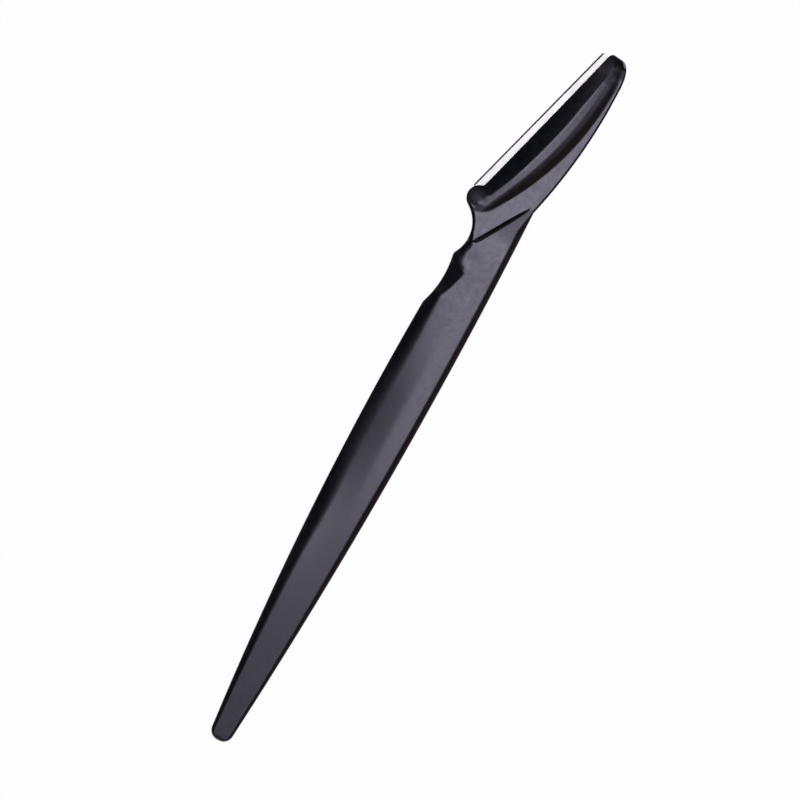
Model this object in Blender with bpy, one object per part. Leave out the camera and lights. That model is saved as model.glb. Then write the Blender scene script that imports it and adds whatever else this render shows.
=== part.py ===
"""Eyebrow trimmer: a moulded handle that holds a fixed, straight steel blade.

The handle is one moulding, alike above and below its middle plane. Its tapered grip ends at
a slanted step, past which a thin web carries the crowned blade holder. The blade lies in a
slot on the middle plane, and posts of the moulding pass through its holes.

The drawing frame has X from the tail to the tip, Y towards the blade's side and Z up from the
middle plane. The head has its own directions: along the blade's edge from its heel, called
reach, and square to the edge towards the spine, called depth.
"""

import math
from collections import namedtuple

import bmesh
import bpy
from mathutils import Vector

MM = 0.001

# Whole tool
OVERALL_LENGTH = 155 * MM
HANDLE_THICKNESS = 4.5 * MM

# Grip: each side is one long arc from the round tail over its widest place
TAIL_RADIUS = 2.3 * MM
TAIL_EDGE_RADIUS = 1.2 * MM
TAIL_FLAT_ANGLE = math.radians(10)
BLADE_SIDE_WIDTH = 5.94 * MM
BLADE_SIDE_WIDEST_AT = OVERALL_LENGTH * 0.474
SPINE_SIDE_WIDTH = 5.68 * MM
SPINE_SIDE_WIDEST_AT = OVERALL_LENGTH * 0.575

# Grip's cross-section: upright walls, sloping shoulders and the flat between them
SHOULDER_FALL_ANGLE = math.radians(33.4)
BLADE_SIDE_WALL = 0.7 * MM
WALL_DRAFT = 0.06 * MM
SHOULDER_AT_TAIL = 0.55 * MM
SHOULDER_WIDTH = 2.05 * MM
SHOULDER_FULL_AT = OVERALL_LENGTH * 0.335
CHAMFER_AT_TAIL = 0.4 * MM
CHAMFER_WIDTH = 0.95 * MM
CHAMFER_AT_END = 0.1 * MM
WALL_MOST_SHARE = 0.6
CORNER_LEAST_SHARE = 0.1
CORNER_MOST_SHARE = 0.45
WALL_CORNER_RADIUS = 0.3 * MM
FLAT_CORNER_RADIUS = 0.45 * MM
ROLL_RADIUS = 3.4 * MM
ROLL_RUNOUT = 8 * MM

# Thumb rest: the flat tilts down towards the blade's side
THUMB_REST_FROM = OVERALL_LENGTH * 0.31
THUMB_REST_TO = OVERALL_LENGTH * 0.65
THUMB_REST_DIP = 0.7 * MM
THUMB_REST_WIDTH = 4.1 * MM

# Finger scallop, the bead past it and the neck: arcs that touch, from the lobe back
SCALLOP_RADIUS = 20.4 * MM
SCALLOP_HALF_WIDTH = 4.44 * MM
BEAD_RADIUS = 1.4 * MM
BEAD_HALF_WIDTH = 4.83 * MM
NECK_RADIUS = 7.0 * MM
NECK_HALF_WIDTH = 3.75 * MM
RIM_WIDTH = 1.45 * MM
RIM_AT_NECK = 0.55 * MM
RIM_NARROWING = 3.6 * MM

# Scoop: the scallop's shoulder widens over the flat and runs out in a short rise
SCOOP_REACH = 2.4 * MM
SCOOP_FROM_SCALLOP = 2.4 * MM
SCOOP_LENGTH = 5.9 * MM
SCOOP_RUNOUT = 2.0 * MM

# Slanted step from the grip's flat to the web, and the slope in which its low end runs out
STEP_SLANT = math.radians(31.4)
STEP_BEHIND_LOBE = 5.8 * MM
STEP_OFFSET = 0.8 * MM
STEP_RUN = 0.4 * MM
STEP_STOPS_PAST_LOBE = 2.6 * MM
STEP_END_PAST_LOBE = 3.6 * MM
STEP_END_SLOPE = 9.4 * MM
STEP_END_SINK = 0.15 * MM

# Web of the head, which thins from the heel to the tip
WEB_THICKNESS = 2.4 * MM
WEB_THICKNESS_AT_TIP = 1.37 * MM
WEB_EDGE_RADIUS = 0.28 * MM
WEB_INSET = 0.03 * MM
WEB_UNDERLAP = 1.0 * MM
WEB_NECK_START = 2.6 * MM
WEB_ROOT = 2.5 * MM

# Head: its tilt, its place and its spine's arc
HEAD_TILT = math.radians(16)
HEEL_HEIGHT = 7.9 * MM
HEAD_DEPTH = 12.4 * MM
HEAD_DEEPEST_REACH = 1.55 * MM
HEAD_SPINE_RADIUS = 108.8 * MM
TIP_WALL = 1.45 * MM
TIP_CORNER_RADIUS = 1.05 * MM
TIP_LEAN = 0.25 * MM
TIP_STRAIGHT = 2.5 * MM
NOSE_LENGTH = 5.1 * MM
NOSE_SPINE_PULL = 3.3 * MM
NOSE_TIP_PULL = 1.7 * MM

# Blade holder: lobe at the heel, thin lip, crowned ridge and the crease at its foot
LOBE_RADIUS = 2.48 * MM
LOBE_REACH = -0.76 * MM
LOBE_DEPTH = 2.61 * MM
LOBE_FILLET_RADIUS = 0.8 * MM
LOBE_RIM_BEND = 2
EXPOSURE_AT_HEEL = 1.64 * MM
EXPOSURE_AT_TIP = 1.38 * MM
LIP_WALL = 0.35 * MM
RIDGE_DEPTH = 6.75 * MM
RIDGE_RADIUS = 78 * MM
RIDGE_DEEPEST_REACH = 16.5 * MM
RIDGE_START_REACH = -1.9 * MM
RIDGE_END_WALL = 1.5 * MM
RIDGE_BELOW_FLAT = 0.2 * MM
RIDGE_TIP_DROP = 1.0 * MM
RIDGE_NOSE_DROP = 0.3 * MM
RIDGE_HEEL_DROP = 0.8 * MM
RIDGE_TOP_SHARE = 0.35
RIDGE_NOSE_SHARE = 0.75
RIDGE_HEEL_SHARE = 0.22
RIDGE_HEEL_BEND = 1.4
RIDGE_ROUND_SHARE = 0.1
RIDGE_FILL_SHARE = 0.97

# Holder's crown: bowed flanks up to a gently sloping crest, at some shares of the ridge's length
CROWN_AT_SHARES = (0.0, 0.12, 0.5, 0.75, 0.9, 1.0)
LIP_FLANK_SHARES = (0.5, 0.66, 0.655, 0.68, 0.8, 0.93)
SPINE_FLANK_SHARES = (0.5, 0.84, 0.88, 0.88, 0.9, 0.93)
LIP_CREST_RISE_SHARES = (0.12, 0.1, 0.115, 0.16, 0.12, 0.05)
SPINE_CREST_RISE_SHARES = (0.12, 0.04, 0.02, 0.02, 0.03, 0.05)
FLANK_BOW_SHARE = 0.25
CREASE_FROM_SPINE_AT_HEEL = 6.1 * MM
CREASE_FROM_SPINE_AT_TIP = 0.68 * MM
CREASE_HEEL_REACH = -1.0 * MM
HEEL_TURN_REACH = -2.8 * MM
HEEL_TURN_DEPTH = 4.95 * MM
HEEL_TURN_ANGLE = math.radians(47.5)
FOOT_SINK = 0.05 * MM

# Blade
BLADE_LENGTH = 36.5 * MM
BLADE_DEPTH = 5.0 * MM
BLADE_THICKNESS = 0.3 * MM
BLADE_HEEL_REACH = 0.2 * MM
BLADE_CORNER_RADIUS = 0.45 * MM
EDGE_THICKNESS = 0.02 * MM
GRIND_WIDTH = 0.3 * MM
HOLE_COUNT = 3
HOLE_RADIUS = 0.8 * MM
HOLE_PITCH = 12 * MM
HOLE_FROM_BACK = 1.6 * MM

# Fits
SLOT_CLEARANCE = 0.05 * MM
OVERRUN = 2 * MM

# Facets
SMOOTH_BELOW_ANGLE = math.radians(28)
FLAT_ABOVE_UPRIGHT = 0.9998
CORNER_STEPS = 3
ARC_STEPS = 8
RIDGE_STEPS = 26
FLANK_STEPS = 4
CREST_STEPS = 4
CYLINDER_SIDES = 32
LONG_SIDE_STEPS = 30
SCALLOP_STEPS = 5
SCOOP_STEPS = 12
RUNOUT_STEPS = 6
NECK_STEPS = 14
SLANT_STEPS = 9
END_SLOPE_STEPS = 10

Circle = namedtuple("Circle", "x y radius")


def clear_scene():
    """Remove whatever the scene holds."""
    for obj in list(bpy.data.objects):
        bpy.data.objects.remove(obj, do_unlink=True)


def plastic_material():
    """Satin black moulded plastic."""
    material = bpy.data.materials.new("black_plastic")
    material.use_nodes = True
    shader = material.node_tree.nodes["Principled BSDF"]
    shader.inputs["Base Color"].default_value = (0.012, 0.012, 0.014, 1.0)
    shader.inputs["Roughness"].default_value = 0.38
    shader.inputs["Metallic"].default_value = 0.0
    return material


def steel_material():
    """Bright ground stainless steel."""
    material = bpy.data.materials.new("ground_steel")
    material.use_nodes = True
    shader = material.node_tree.nodes["Principled BSDF"]
    shader.inputs["Base Color"].default_value = (0.78, 0.77, 0.79, 1.0)
    shader.inputs["Roughness"].default_value = 0.24
    shader.inputs["Metallic"].default_value = 1.0
    return material


def link(name, mesh):
    """Put a mesh into the scene as a named object."""
    obj = bpy.data.objects.new(name, mesh)
    bpy.context.scene.collection.objects.link(obj)
    return obj


def mark_as_shaper(obj):
    """A shaper is joined to or cut out of another object and is no piece of its own."""
    obj.hide_render = True
    obj.display_type = "WIRE"
    return obj


def combine(target, shaper, operation):
    """Join a shaper to an object or cut it out."""
    modifier = target.modifiers.new(shaper.name, "BOOLEAN")
    modifier.operation = operation
    modifier.solver = "EXACT"
    modifier.object = shaper


def settle(obj, material):
    """Keep the finished form as the object's mesh: smooth between edges, but flat on its flats."""
    depsgraph = bpy.context.evaluated_depsgraph_get()
    mesh = bpy.data.meshes.new_from_object(obj.evaluated_get(depsgraph))
    mesh.name = obj.name
    mesh.materials.clear()
    mesh.materials.append(material)
    mesh.shade_smooth()
    mesh.set_sharp_from_angle(angle=SMOOTH_BELOW_ANGLE)
    for face in mesh.polygons:
        if abs(face.normal.z) > FLAT_ABOVE_UPRIGHT:
            face.use_smooth = False
    for modifier in list(obj.modifiers):
        bpy.data.objects.remove(modifier.object, do_unlink=True)
    obj.modifiers.clear()
    obj.data = mesh
    return obj


def spread(start, end, count):
    """Evenly spaced values from start up to, but not at, end."""
    return [start + (end - start) * step / count for step in range(count)]


def ease(value):
    """Smooth rise from 0 to 1, level at both ends."""
    value = min(max(value, 0.0), 1.0)
    return (1 - math.cos(math.pi * value)) / 2


def rolled_against(neighbour, radius, height):
    """The circle of a radius and centre height that touches its neighbour from the tail's side."""
    apart = neighbour.radius + radius
    rise = height - neighbour.y
    return Circle(neighbour.x - math.sqrt(apart ** 2 - rise ** 2), height, radius)


def touch(first, second):
    """The point where two circles touch."""
    share = first.radius / (first.radius + second.radius)
    return Vector((first.x + (second.x - first.x) * share, first.y + (second.y - first.y) * share))


def top_of(circle, x):
    """Height of the upper half of a circle at x."""
    return circle.y + math.sqrt(circle.radius ** 2 - (x - circle.x) ** 2)


def bottom_of(circle, x):
    """Height of the lower half of a circle at x."""
    return circle.y - math.sqrt(circle.radius ** 2 - (x - circle.x) ** 2)


def shorter_arc(circle, start, end, steps):
    """Points on a circle from one point on it to another, the shorter way round."""
    first = math.atan2(start.y - circle.y, start.x - circle.x)
    turn = math.atan2(end.y - circle.y, end.x - circle.x) - first
    turn = (turn + math.pi) % math.tau - math.pi
    angles = [first + turn * step / steps for step in range(steps + 1)]
    return [Vector((circle.x + circle.radius * math.cos(angle),
                    circle.y + circle.radius * math.sin(angle))) for angle in angles]


def shallow_arc(deepest, radius, deepest_at, reach):
    """Depth at a reach of a shallow arc that bows towards the spine."""
    return deepest - radius + math.sqrt(radius ** 2 - (reach - deepest_at) ** 2)


def exposure(reach):
    """Width of blade left bare by the lip: it narrows towards the tip."""
    share = max(reach, 0.0) / BLADE_LENGTH
    return EXPOSURE_AT_HEEL - (EXPOSURE_AT_HEEL - EXPOSURE_AT_TIP) * share ** 2


def ridge_depth(reach):
    """Depth of the holder's ridge line."""
    return shallow_arc(RIDGE_DEPTH, RIDGE_RADIUS, RIDGE_DEEPEST_REACH, reach)


def spine_depth(reach):
    """Depth of the head's spine."""
    return shallow_arc(HEAD_DEPTH, HEAD_SPINE_RADIUS, HEAD_DEEPEST_REACH, reach)


def crease_depth(reach):
    """Depth of the crease where the holder meets the web, which narrows towards the tip."""
    narrowing = (1 - reach / BLADE_LENGTH) ** 2
    strip = (CREASE_FROM_SPINE_AT_TIP
             + (CREASE_FROM_SPINE_AT_HEEL - CREASE_FROM_SPINE_AT_TIP) * narrowing)
    return spine_depth(reach) - strip


def tip_reach():
    """Reach of the head's foremost place."""
    return BLADE_HEEL_REACH + BLADE_LENGTH + TIP_WALL


def lobe_fillet():
    """The circle that rounds the lobe into the lip, in reach and depth."""
    depth = EXPOSURE_AT_HEEL - LOBE_FILLET_RADIUS
    apart = LOBE_RADIUS + LOBE_FILLET_RADIUS
    reach = LOBE_REACH + math.sqrt(apart ** 2 - (LOBE_DEPTH - depth) ** 2)
    return Circle(reach, depth, LOBE_FILLET_RADIUS)


def tip_outline():
    """The tip in reach and depth: round corner at the lip, then the straight front."""
    front = tip_reach()
    corner = Circle(front - TIP_LEAN - TIP_CORNER_RADIUS, EXPOSURE_AT_TIP + TIP_CORNER_RADIUS,
                    TIP_CORNER_RADIUS)
    lip_end = Vector((corner.x, EXPOSURE_AT_TIP))
    front_start = Vector((front - TIP_LEAN, corner.y))
    return shorter_arc(corner, lip_end, front_start, ARC_STEPS)


def nose_outline():
    """The nose in reach and depth: one curve from the tip's front to the spine's arc."""
    front = Vector((tip_reach(), EXPOSURE_AT_TIP + TIP_STRAIGHT))
    lean = Vector((TIP_LEAN, TIP_STRAIGHT)).normalized()
    start = tip_reach() - NOSE_LENGTH
    spine = Vector((start, spine_depth(start)))
    slope = (start - HEAD_DEEPEST_REACH) / HEAD_SPINE_RADIUS
    along = Vector((1, -slope)).normalized()
    pull_front = front + lean * NOSE_TIP_PULL
    pull_spine = spine + along * NOSE_SPINE_PULL
    points = []
    for step in range(ARC_STEPS * 2 + 1):
        share = step / (ARC_STEPS * 2)
        rest = 1 - share
        points.append(front * rest ** 3 + pull_front * 3 * rest ** 2 * share
                      + pull_spine * 3 * rest * share ** 2 + spine * share ** 3)
    return points


def heel_corner():
    """The head's origin in the drawing frame, set so that the tip ends the overall length."""
    foremost = max(point.x * math.cos(HEAD_TILT) - point.y * math.sin(HEAD_TILT)
                   for point in tip_outline() + nose_outline())
    return Vector((OVERALL_LENGTH - foremost, HEEL_HEIGHT))


HEEL = heel_corner()


def head_point(reach, depth):
    """Drawing-frame place of a point given in reach and depth."""
    cos = math.cos(HEAD_TILT)
    sin = math.sin(HEAD_TILT)
    return Vector((HEEL.x + reach * cos - depth * sin, HEEL.y - reach * sin - depth * cos))


def in_head(point):
    """Reach and depth of a drawing-frame point."""
    cos = math.cos(HEAD_TILT)
    sin = math.sin(HEAD_TILT)
    offset = point - HEEL
    return Vector((offset.x * cos - offset.y * sin, -offset.x * sin - offset.y * cos))


LOBE = Circle(*head_point(LOBE_REACH, LOBE_DEPTH), LOBE_RADIUS)
NECK = rolled_against(LOBE, NECK_RADIUS, NECK_HALF_WIDTH + NECK_RADIUS)
BEAD = rolled_against(NECK, BEAD_RADIUS, BEAD_HALF_WIDTH - BEAD_RADIUS)
SCALLOP = rolled_against(BEAD, SCALLOP_RADIUS, SCALLOP_HALF_WIDTH + SCALLOP_RADIUS)


def long_side(widest, widest_at):
    """The circle of one of the grip's sides: from the tail over the widest place."""
    rise = widest - TAIL_RADIUS
    radius = ((widest_at - TAIL_RADIUS) ** 2 + rise ** 2) / (2 * rise)
    return Circle(widest_at, widest - radius, radius)


BLADE_SIDE = long_side(BLADE_SIDE_WIDTH, BLADE_SIDE_WIDEST_AT)
SPINE_SIDE = long_side(SPINE_SIDE_WIDTH, SPINE_SIDE_WIDEST_AT)


def tail_share(x):
    """Share of the full width that the round tail has at x."""
    centre = TAIL_RADIUS * math.cos(TAIL_FLAT_ANGLE)
    if x >= centre:
        return 1.0
    return math.sqrt(TAIL_RADIUS ** 2 - (centre - x) ** 2) / TAIL_RADIUS


def plain_blade_side(x):
    """The grip's blade side before the scallop and the neck are taken from it."""
    return top_of(BLADE_SIDE, max(x, TAIL_RADIUS)) * tail_share(x)


def spine_side(x):
    """The grip's spine side, as a negative height."""
    return -top_of(SPINE_SIDE, max(x, TAIL_RADIUS)) * tail_share(x)


def first_crossing(first, second):
    """Where two circles first cross, counted from the tail."""
    apart = Vector((second.x - first.x, second.y - first.y))
    along = (first.radius ** 2 - second.radius ** 2 + apart.length_squared) / (2 * apart.length)
    across = math.sqrt(first.radius ** 2 - along ** 2)
    direction = apart.normalized()
    return first.x + direction.x * along - direction.y * across


SCALLOP_START = first_crossing(BLADE_SIDE, SCALLOP)


def blade_side(x):
    """Half width on the blade's side from the tail to the neck, and the neck's own past it."""
    if x < SCALLOP_START:
        return plain_blade_side(x)
    if x < touch(SCALLOP, BEAD).x:
        return bottom_of(SCALLOP, x)
    if x < touch(BEAD, NECK).x:
        return top_of(BEAD, x)
    return bottom_of(NECK, min(x, NECK.x))


def step_line(x):
    """Height of the middle of the slanted step, which stops short of the spine."""
    past_lobe = min(x - LOBE.x, STEP_STOPS_PAST_LOBE)
    return STEP_OFFSET - (past_lobe + STEP_BEHIND_LOBE) * math.tan(STEP_SLANT)


STEP_END = LOBE.x + STEP_END_PAST_LOBE


def half_height(x):
    """Half thickness of the grip: full, but for the tail's edge and the slope at the step's end."""
    full = HANDLE_THICKNESS / 2
    if x < TAIL_EDGE_RADIUS:
        drop = TAIL_EDGE_RADIUS - math.sqrt(TAIL_EDGE_RADIUS ** 2 - (TAIL_EDGE_RADIUS - x) ** 2)
        return full - drop
    sunk = WEB_THICKNESS / 2 - STEP_END_SINK
    return full - (full - sunk) * max((x - STEP_END) / STEP_END_SLOPE + 1, 0.0)


def band_width(x, at_tail, full):
    """A band's width: it grows steadily from the tail to its full size."""
    return at_tail + (full - at_tail) * min(x / SHOULDER_FULL_AT, 1.0)


def scoop(x):
    """How far the scoop eats into the flat."""
    start = SCALLOP_START + SCOOP_FROM_SCALLOP
    rise = (x - start) / SCOOP_LENGTH
    if rise <= 0:
        return 0.0
    if rise < 1:
        return SCOOP_REACH * rise
    return SCOOP_REACH * (1 - ease((x - start - SCOOP_LENGTH) / SCOOP_RUNOUT))


def rim_width(x):
    """Width of the slope along the scallop and the bead, which narrows towards the neck."""
    share = min(max((x - BEAD.x) / RIM_NARROWING, 0.0), 1.0)
    return RIM_WIDTH - (RIM_WIDTH - RIM_AT_NECK) * share


def shoulder_edge(x):
    """Where the flat ends on the blade's side, but for the step."""
    plain = plain_blade_side(x) - band_width(x, SHOULDER_AT_TAIL, SHOULDER_WIDTH) * tail_share(x)
    if x > SCALLOP_START:
        plain = min(plain, blade_side(x) - rim_width(x))
    return plain - scoop(x)


def roll_radius(x):
    """Radius of the roll from the flat to the shoulder, which gets crisp towards the scallop."""
    softness = ease((SCALLOP_START - x) / ROLL_RUNOUT)
    return FLAT_CORNER_RADIUS + (ROLL_RADIUS - FLAT_CORNER_RADIUS) * softness


def thumb_dip(x):
    """How far the thumb rest drops below the flat at its outer side."""
    share = (x - THUMB_REST_FROM) / (THUMB_REST_TO - THUMB_REST_FROM)
    if share <= 0 or share >= 1:
        return 0.0
    return THUMB_REST_DIP * math.sin(math.pi * share) ** 2


def round_corner(before, corner, after, radius):
    """Points of an arc in place of a corner, kept to a fair share of its shorter side."""
    towards = (before - corner).normalized()
    onwards = (after - corner).normalized()
    half = towards.angle(onwards) / 2
    sides = min((before - corner).length, (after - corner).length)
    cut = min(max(radius / math.tan(half), sides * CORNER_LEAST_SHARE), sides * CORNER_MOST_SHARE)
    start = corner + towards * cut
    end = corner + onwards * cut
    points = []
    for step in range(CORNER_STEPS + 1):
        share = step / CORNER_STEPS
        points.append(start * (1 - share) ** 2 + corner * 2 * share * (1 - share) + end * share ** 2)
    return points


def blade_wall_top(x, top, edge):
    """Height where the shoulder or the step meets the wall on the blade's side."""
    lowest = min(BLADE_SIDE_WALL, top * WALL_MOST_SHARE)
    if edge.x < shoulder_edge(x):
        return lowest
    return max(lowest, edge.y - (blade_side(x) - edge.x) * math.tan(SHOULDER_FALL_ANGLE))


def chamfer_width(x, top):
    """Width of the chamfer on the spine's side, which runs out as the grip thins to the web."""
    above_web = max(top - WEB_THICKNESS / 2, 0.0)
    band = band_width(x, CHAMFER_AT_TAIL, CHAMFER_WIDTH) * tail_share(x)
    return min(band, above_web / math.tan(SHOULDER_FALL_ANGLE) + CHAMFER_AT_END)


def grip_section(x):
    """One closed cross-section of the grip, as points at x."""
    top = half_height(x)
    step_foot = step_line(x) + STEP_RUN / 2
    slope = STEP_RUN / (HANDLE_THICKNESS / 2 - WEB_THICKNESS / 2)
    foot = min(blade_side(x), step_foot + slope * WEB_THICKNESS / 2)
    edge = Vector((min(shoulder_edge(x), step_line(x) - STEP_RUN / 2), top - thumb_dip(x)))
    blade_wall = blade_wall_top(x, top, edge)
    wall_top = min(blade_side(x) - WALL_DRAFT, step_foot + slope * (WEB_THICKNESS / 2 - blade_wall))
    spine = spine_side(x)
    chamfer = chamfer_width(x, top)
    spine_wall = top - chamfer * math.tan(SHOULDER_FALL_ANGLE)
    far_edge = Vector((spine + chamfer, top))
    rest_width = min(THUMB_REST_WIDTH, (edge.x - far_edge.x) / 2)
    upper = [Vector((foot, 0)),
             Vector((wall_top, blade_wall)),
             edge,
             Vector((edge.x - rest_width, top)),
             far_edge,
             Vector((spine + WALL_DRAFT * tail_share(x), spine_wall)),
             Vector((spine, 0))]
    radii = [None, WALL_CORNER_RADIUS, roll_radius(x), None, FLAT_CORNER_RADIUS,
             WALL_CORNER_RADIUS, None]
    rounded = []
    for index, radius in enumerate(radii):
        if radius is None:
            rounded.append(upper[index])
        else:
            rounded += round_corner(upper[index - 1], upper[index], upper[index + 1], radius)
    lower = [Vector((point.x, -point.y)) for point in reversed(rounded[1:-1])]
    return [Vector((x, point.x, point.y)) for point in rounded + lower]


def grip_stations():
    """Places of the grip's cross-sections, closer where its form changes faster."""
    centre = TAIL_RADIUS * math.cos(TAIL_FLAT_ANGLE)
    angles = spread(TAIL_FLAT_ANGLE, math.pi / 2, ARC_STEPS)
    tail = [centre - TAIL_RADIUS * math.cos(angle) for angle in angles]
    scoop_start = SCALLOP_START + SCOOP_FROM_SCALLOP
    scoop_end = scoop_start + SCOOP_LENGTH
    slope_start = STEP_END - STEP_END_SLOPE
    return (tail + spread(centre, SCALLOP_START, LONG_SIDE_STEPS)
            + spread(SCALLOP_START, scoop_start, SCALLOP_STEPS)
            + spread(scoop_start, scoop_end, SCOOP_STEPS)
            + spread(scoop_end, scoop_end + SCOOP_RUNOUT, RUNOUT_STEPS)
            + spread(scoop_end + SCOOP_RUNOUT, NECK.x, NECK_STEPS)
            + spread(NECK.x, slope_start, SLANT_STEPS)
            + spread(slope_start, STEP_END, END_SLOPE_STEPS) + [STEP_END])


def loft(name, sections):
    """Skin closed sections of equal count, with a face over each end."""
    mesh = bpy.data.meshes.new(name)
    shape = bmesh.new()
    rings = [[shape.verts.new(point) for point in section] for section in sections]
    count = len(rings[0])
    for ring, following in zip(rings, rings[1:]):
        for index in range(count):
            after = (index + 1) % count
            shape.faces.new((ring[index], ring[after], following[after], following[index]))
    shape.faces.new(rings[0])
    shape.faces.new(rings[-1])
    bmesh.ops.recalc_face_normals(shape, faces=shape.faces)
    shape.to_mesh(mesh)
    shape.free()
    return mesh


def web_half(reach):
    """Half thickness of the web, which thins evenly from the heel to the tip."""
    return (WEB_THICKNESS + (WEB_THICKNESS_AT_TIP - WEB_THICKNESS) * reach / tip_reach()) / 2


def with_rim(points, start_share, end_share, bend=1):
    """Outline points, each with the rim's half height: 0 is the lip's and 1 the foot's."""
    lip = BLADE_THICKNESS / 2 + SLOT_CLEARANCE + LIP_WALL
    last = max(len(points) - 1, 1)
    rim = []
    for index, point in enumerate(points):
        share = (start_share + (end_share - start_share) * index / last) ** bend
        foot = web_half(point.x) - FOOT_SINK
        rim.append(Vector((point.x, point.y, lip + (foot - lip) * share)))
    return rim


def lip_outline():
    """The lip from the lobe's fillet to the tip's corner, in reach and depth."""
    start = lobe_fillet().x
    end = tip_reach() - TIP_LEAN - TIP_CORNER_RADIUS
    return [Vector((reach, exposure(reach))) for reach in spread(start, end, RIDGE_STEPS)]


def crease_start():
    """The nose's first point past the crease."""
    return next(point for point in nose_outline() if point.y > crease_depth(point.x))


def crease_outline():
    """The crease from the nose back to the heel, in reach and depth."""
    return [Vector((reach, crease_depth(reach)))
            for reach in spread(crease_start().x, CREASE_HEEL_REACH, RIDGE_STEPS)]


def heel_turn():
    """The crease's turn round the heel, up to the neck's arc, in reach and depth."""
    start = Vector((CREASE_HEEL_REACH, crease_depth(CREASE_HEEL_REACH)))
    pull = Vector((HEEL_TURN_REACH, HEEL_TURN_DEPTH))
    end = in_head(Vector((NECK.x + NECK.radius * math.sin(HEEL_TURN_ANGLE),
                          NECK.y - NECK.radius * math.cos(HEEL_TURN_ANGLE))))
    points = []
    for step in range(ARC_STEPS):
        share = step / ARC_STEPS
        rest = 1 - share
        points.append(start * rest ** 2 + pull * 2 * rest * share + end * share ** 2)
    return points + [end]


def lobe_outline():
    """The neck's last stretch, the lobe and its fillet, in reach and depth."""
    neck = Circle(*in_head(Vector((NECK.x, NECK.y))), NECK.radius)
    lobe = Circle(LOBE_REACH, LOBE_DEPTH, LOBE_RADIUS)
    fillet = lobe_fillet()
    turn_end = heel_turn()[-1]
    lobe_start = touch(neck, lobe)
    lobe_end = touch(lobe, fillet)
    lip_start = Vector((fillet.x, fillet.y + fillet.radius))
    return (shorter_arc(neck, turn_end, lobe_start, CORNER_STEPS)[1:-1]
            + shorter_arc(lobe, lobe_start, lobe_end, ARC_STEPS * 2)[:-1]
            + shorter_arc(fillet, lobe_end, lip_start, CORNER_STEPS)[:-1])


def holder_outline():
    """The holder's closed outline with its rim's half heights, from the lip round the tip."""
    front = [point for point in nose_outline() if point.y < crease_start().y]
    return (with_rim(lip_outline() + tip_outline(), 0, 0)
            + with_rim(front, 0, 1)
            + with_rim(crease_outline() + heel_turn(), 1, 1)
            + with_rim(lobe_outline(), 1, 0, LOBE_RIM_BEND))


def kept_inside(share, rounding):
    """A share from 0 to 1 whose ends are only approached, over a rounding at either end."""
    if share < rounding:
        return rounding * math.exp((share - rounding) / rounding)
    if share > 1 - rounding:
        return 1 - rounding * math.exp((1 - rounding - share) / rounding)
    return share


def ridge_height(share):
    """Half height of the ridge at a share of its length: it falls towards the heel and the tip."""
    towards_tip = max((share - RIDGE_TOP_SHARE) / (1 - RIDGE_TOP_SHARE), 0.0)
    towards_nose = max((share - RIDGE_NOSE_SHARE) / (1 - RIDGE_NOSE_SHARE), 0.0)
    towards_heel = max(1 - share / RIDGE_HEEL_SHARE, 0.0)
    return (HANDLE_THICKNESS / 2 - RIDGE_BELOW_FLAT - RIDGE_TIP_DROP * towards_tip ** 2
            - RIDGE_NOSE_DROP * towards_nose ** 2 - RIDGE_HEEL_DROP * towards_heel ** RIDGE_HEEL_BEND)


def ridge_share(point):
    """The share of the ridge's length that an outline point rises to."""
    end = tip_reach() - RIDGE_END_WALL
    first = math.asin((RIDGE_START_REACH - RIDGE_DEEPEST_REACH) / RIDGE_RADIUS)
    last = math.asin((end - RIDGE_DEEPEST_REACH) / RIDGE_RADIUS)
    facing = math.atan2(point.x - RIDGE_DEEPEST_REACH, point.y - RIDGE_DEPTH + RIDGE_RADIUS)
    share = kept_inside((facing - first) / (last - first), RIDGE_ROUND_SHARE)
    return share, first + (last - first) * share


def between(share, values):
    """A crown value at a share of the ridge's length."""
    for index in range(1, len(CROWN_AT_SHARES)):
        if share <= CROWN_AT_SHARES[index]:
            break
    before = CROWN_AT_SHARES[index - 1]
    part = (share - before) / (CROWN_AT_SHARES[index] - before)
    return values[index - 1] + (values[index] - values[index - 1]) * part


def crown_line(point):
    """Points from an outline point up the flank and over the crest, in drawing frame."""
    share, angle = ridge_share(point)
    ridge = Vector((RIDGE_DEEPEST_REACH + RIDGE_RADIUS * math.sin(angle),
                    RIDGE_DEPTH - RIDGE_RADIUS + RIDGE_RADIUS * math.cos(angle),
                    ridge_height(share)))
    on_lip_side = point.y < ridge.y
    flank = between(share, LIP_FLANK_SHARES if on_lip_side else SPINE_FLANK_SHARES)
    crest = between(share, LIP_CREST_RISE_SHARES if on_lip_side else SPINE_CREST_RISE_SHARES)
    steps = [(step / FLANK_STEPS, 0.0) for step in range(FLANK_STEPS + 1)]
    steps += [(1.0, step / CREST_STEPS * RIDGE_FILL_SHARE) for step in range(1, CREST_STEPS + 1)]
    line = []
    for up, over in steps:
        inwards = flank * up + (1 - flank) * over
        rise = (1 - crest) * up * (1 + FLANK_BOW_SHARE * (1 - up)) + crest * over
        place = head_point(point.x + (ridge.x - point.x) * inwards,
                           point.y + (ridge.y - point.y) * inwards)
        line.append(Vector((place.x, place.y, point.z + (ridge.z - point.z) * rise)))
    return line


def make_holder():
    """The crowned holder, as a shaper for the grip."""
    upper = [list(ring) for ring in zip(*[crown_line(point) for point in holder_outline()])]
    lower = [[Vector((point.x, point.y, -point.z)) for point in ring] for ring in upper]
    return mark_as_shaper(link("holder_form", loft("holder_form", lower[::-1] + upper)))


def offset_outline(points, distance):
    """A closed outline moved inwards by a distance, wound counterclockwise."""
    moved = []
    for index, point in enumerate(points):
        before = (point - points[index - 1]).normalized()
        after = (points[(index + 1) % len(points)] - point).normalized()
        inwards = Vector((-before.y - after.y, before.x + after.x)).normalized()
        stretch = inwards.dot(Vector((-before.y, before.x)))
        moved.append(point + inwards * distance / stretch)
    return moved


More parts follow.
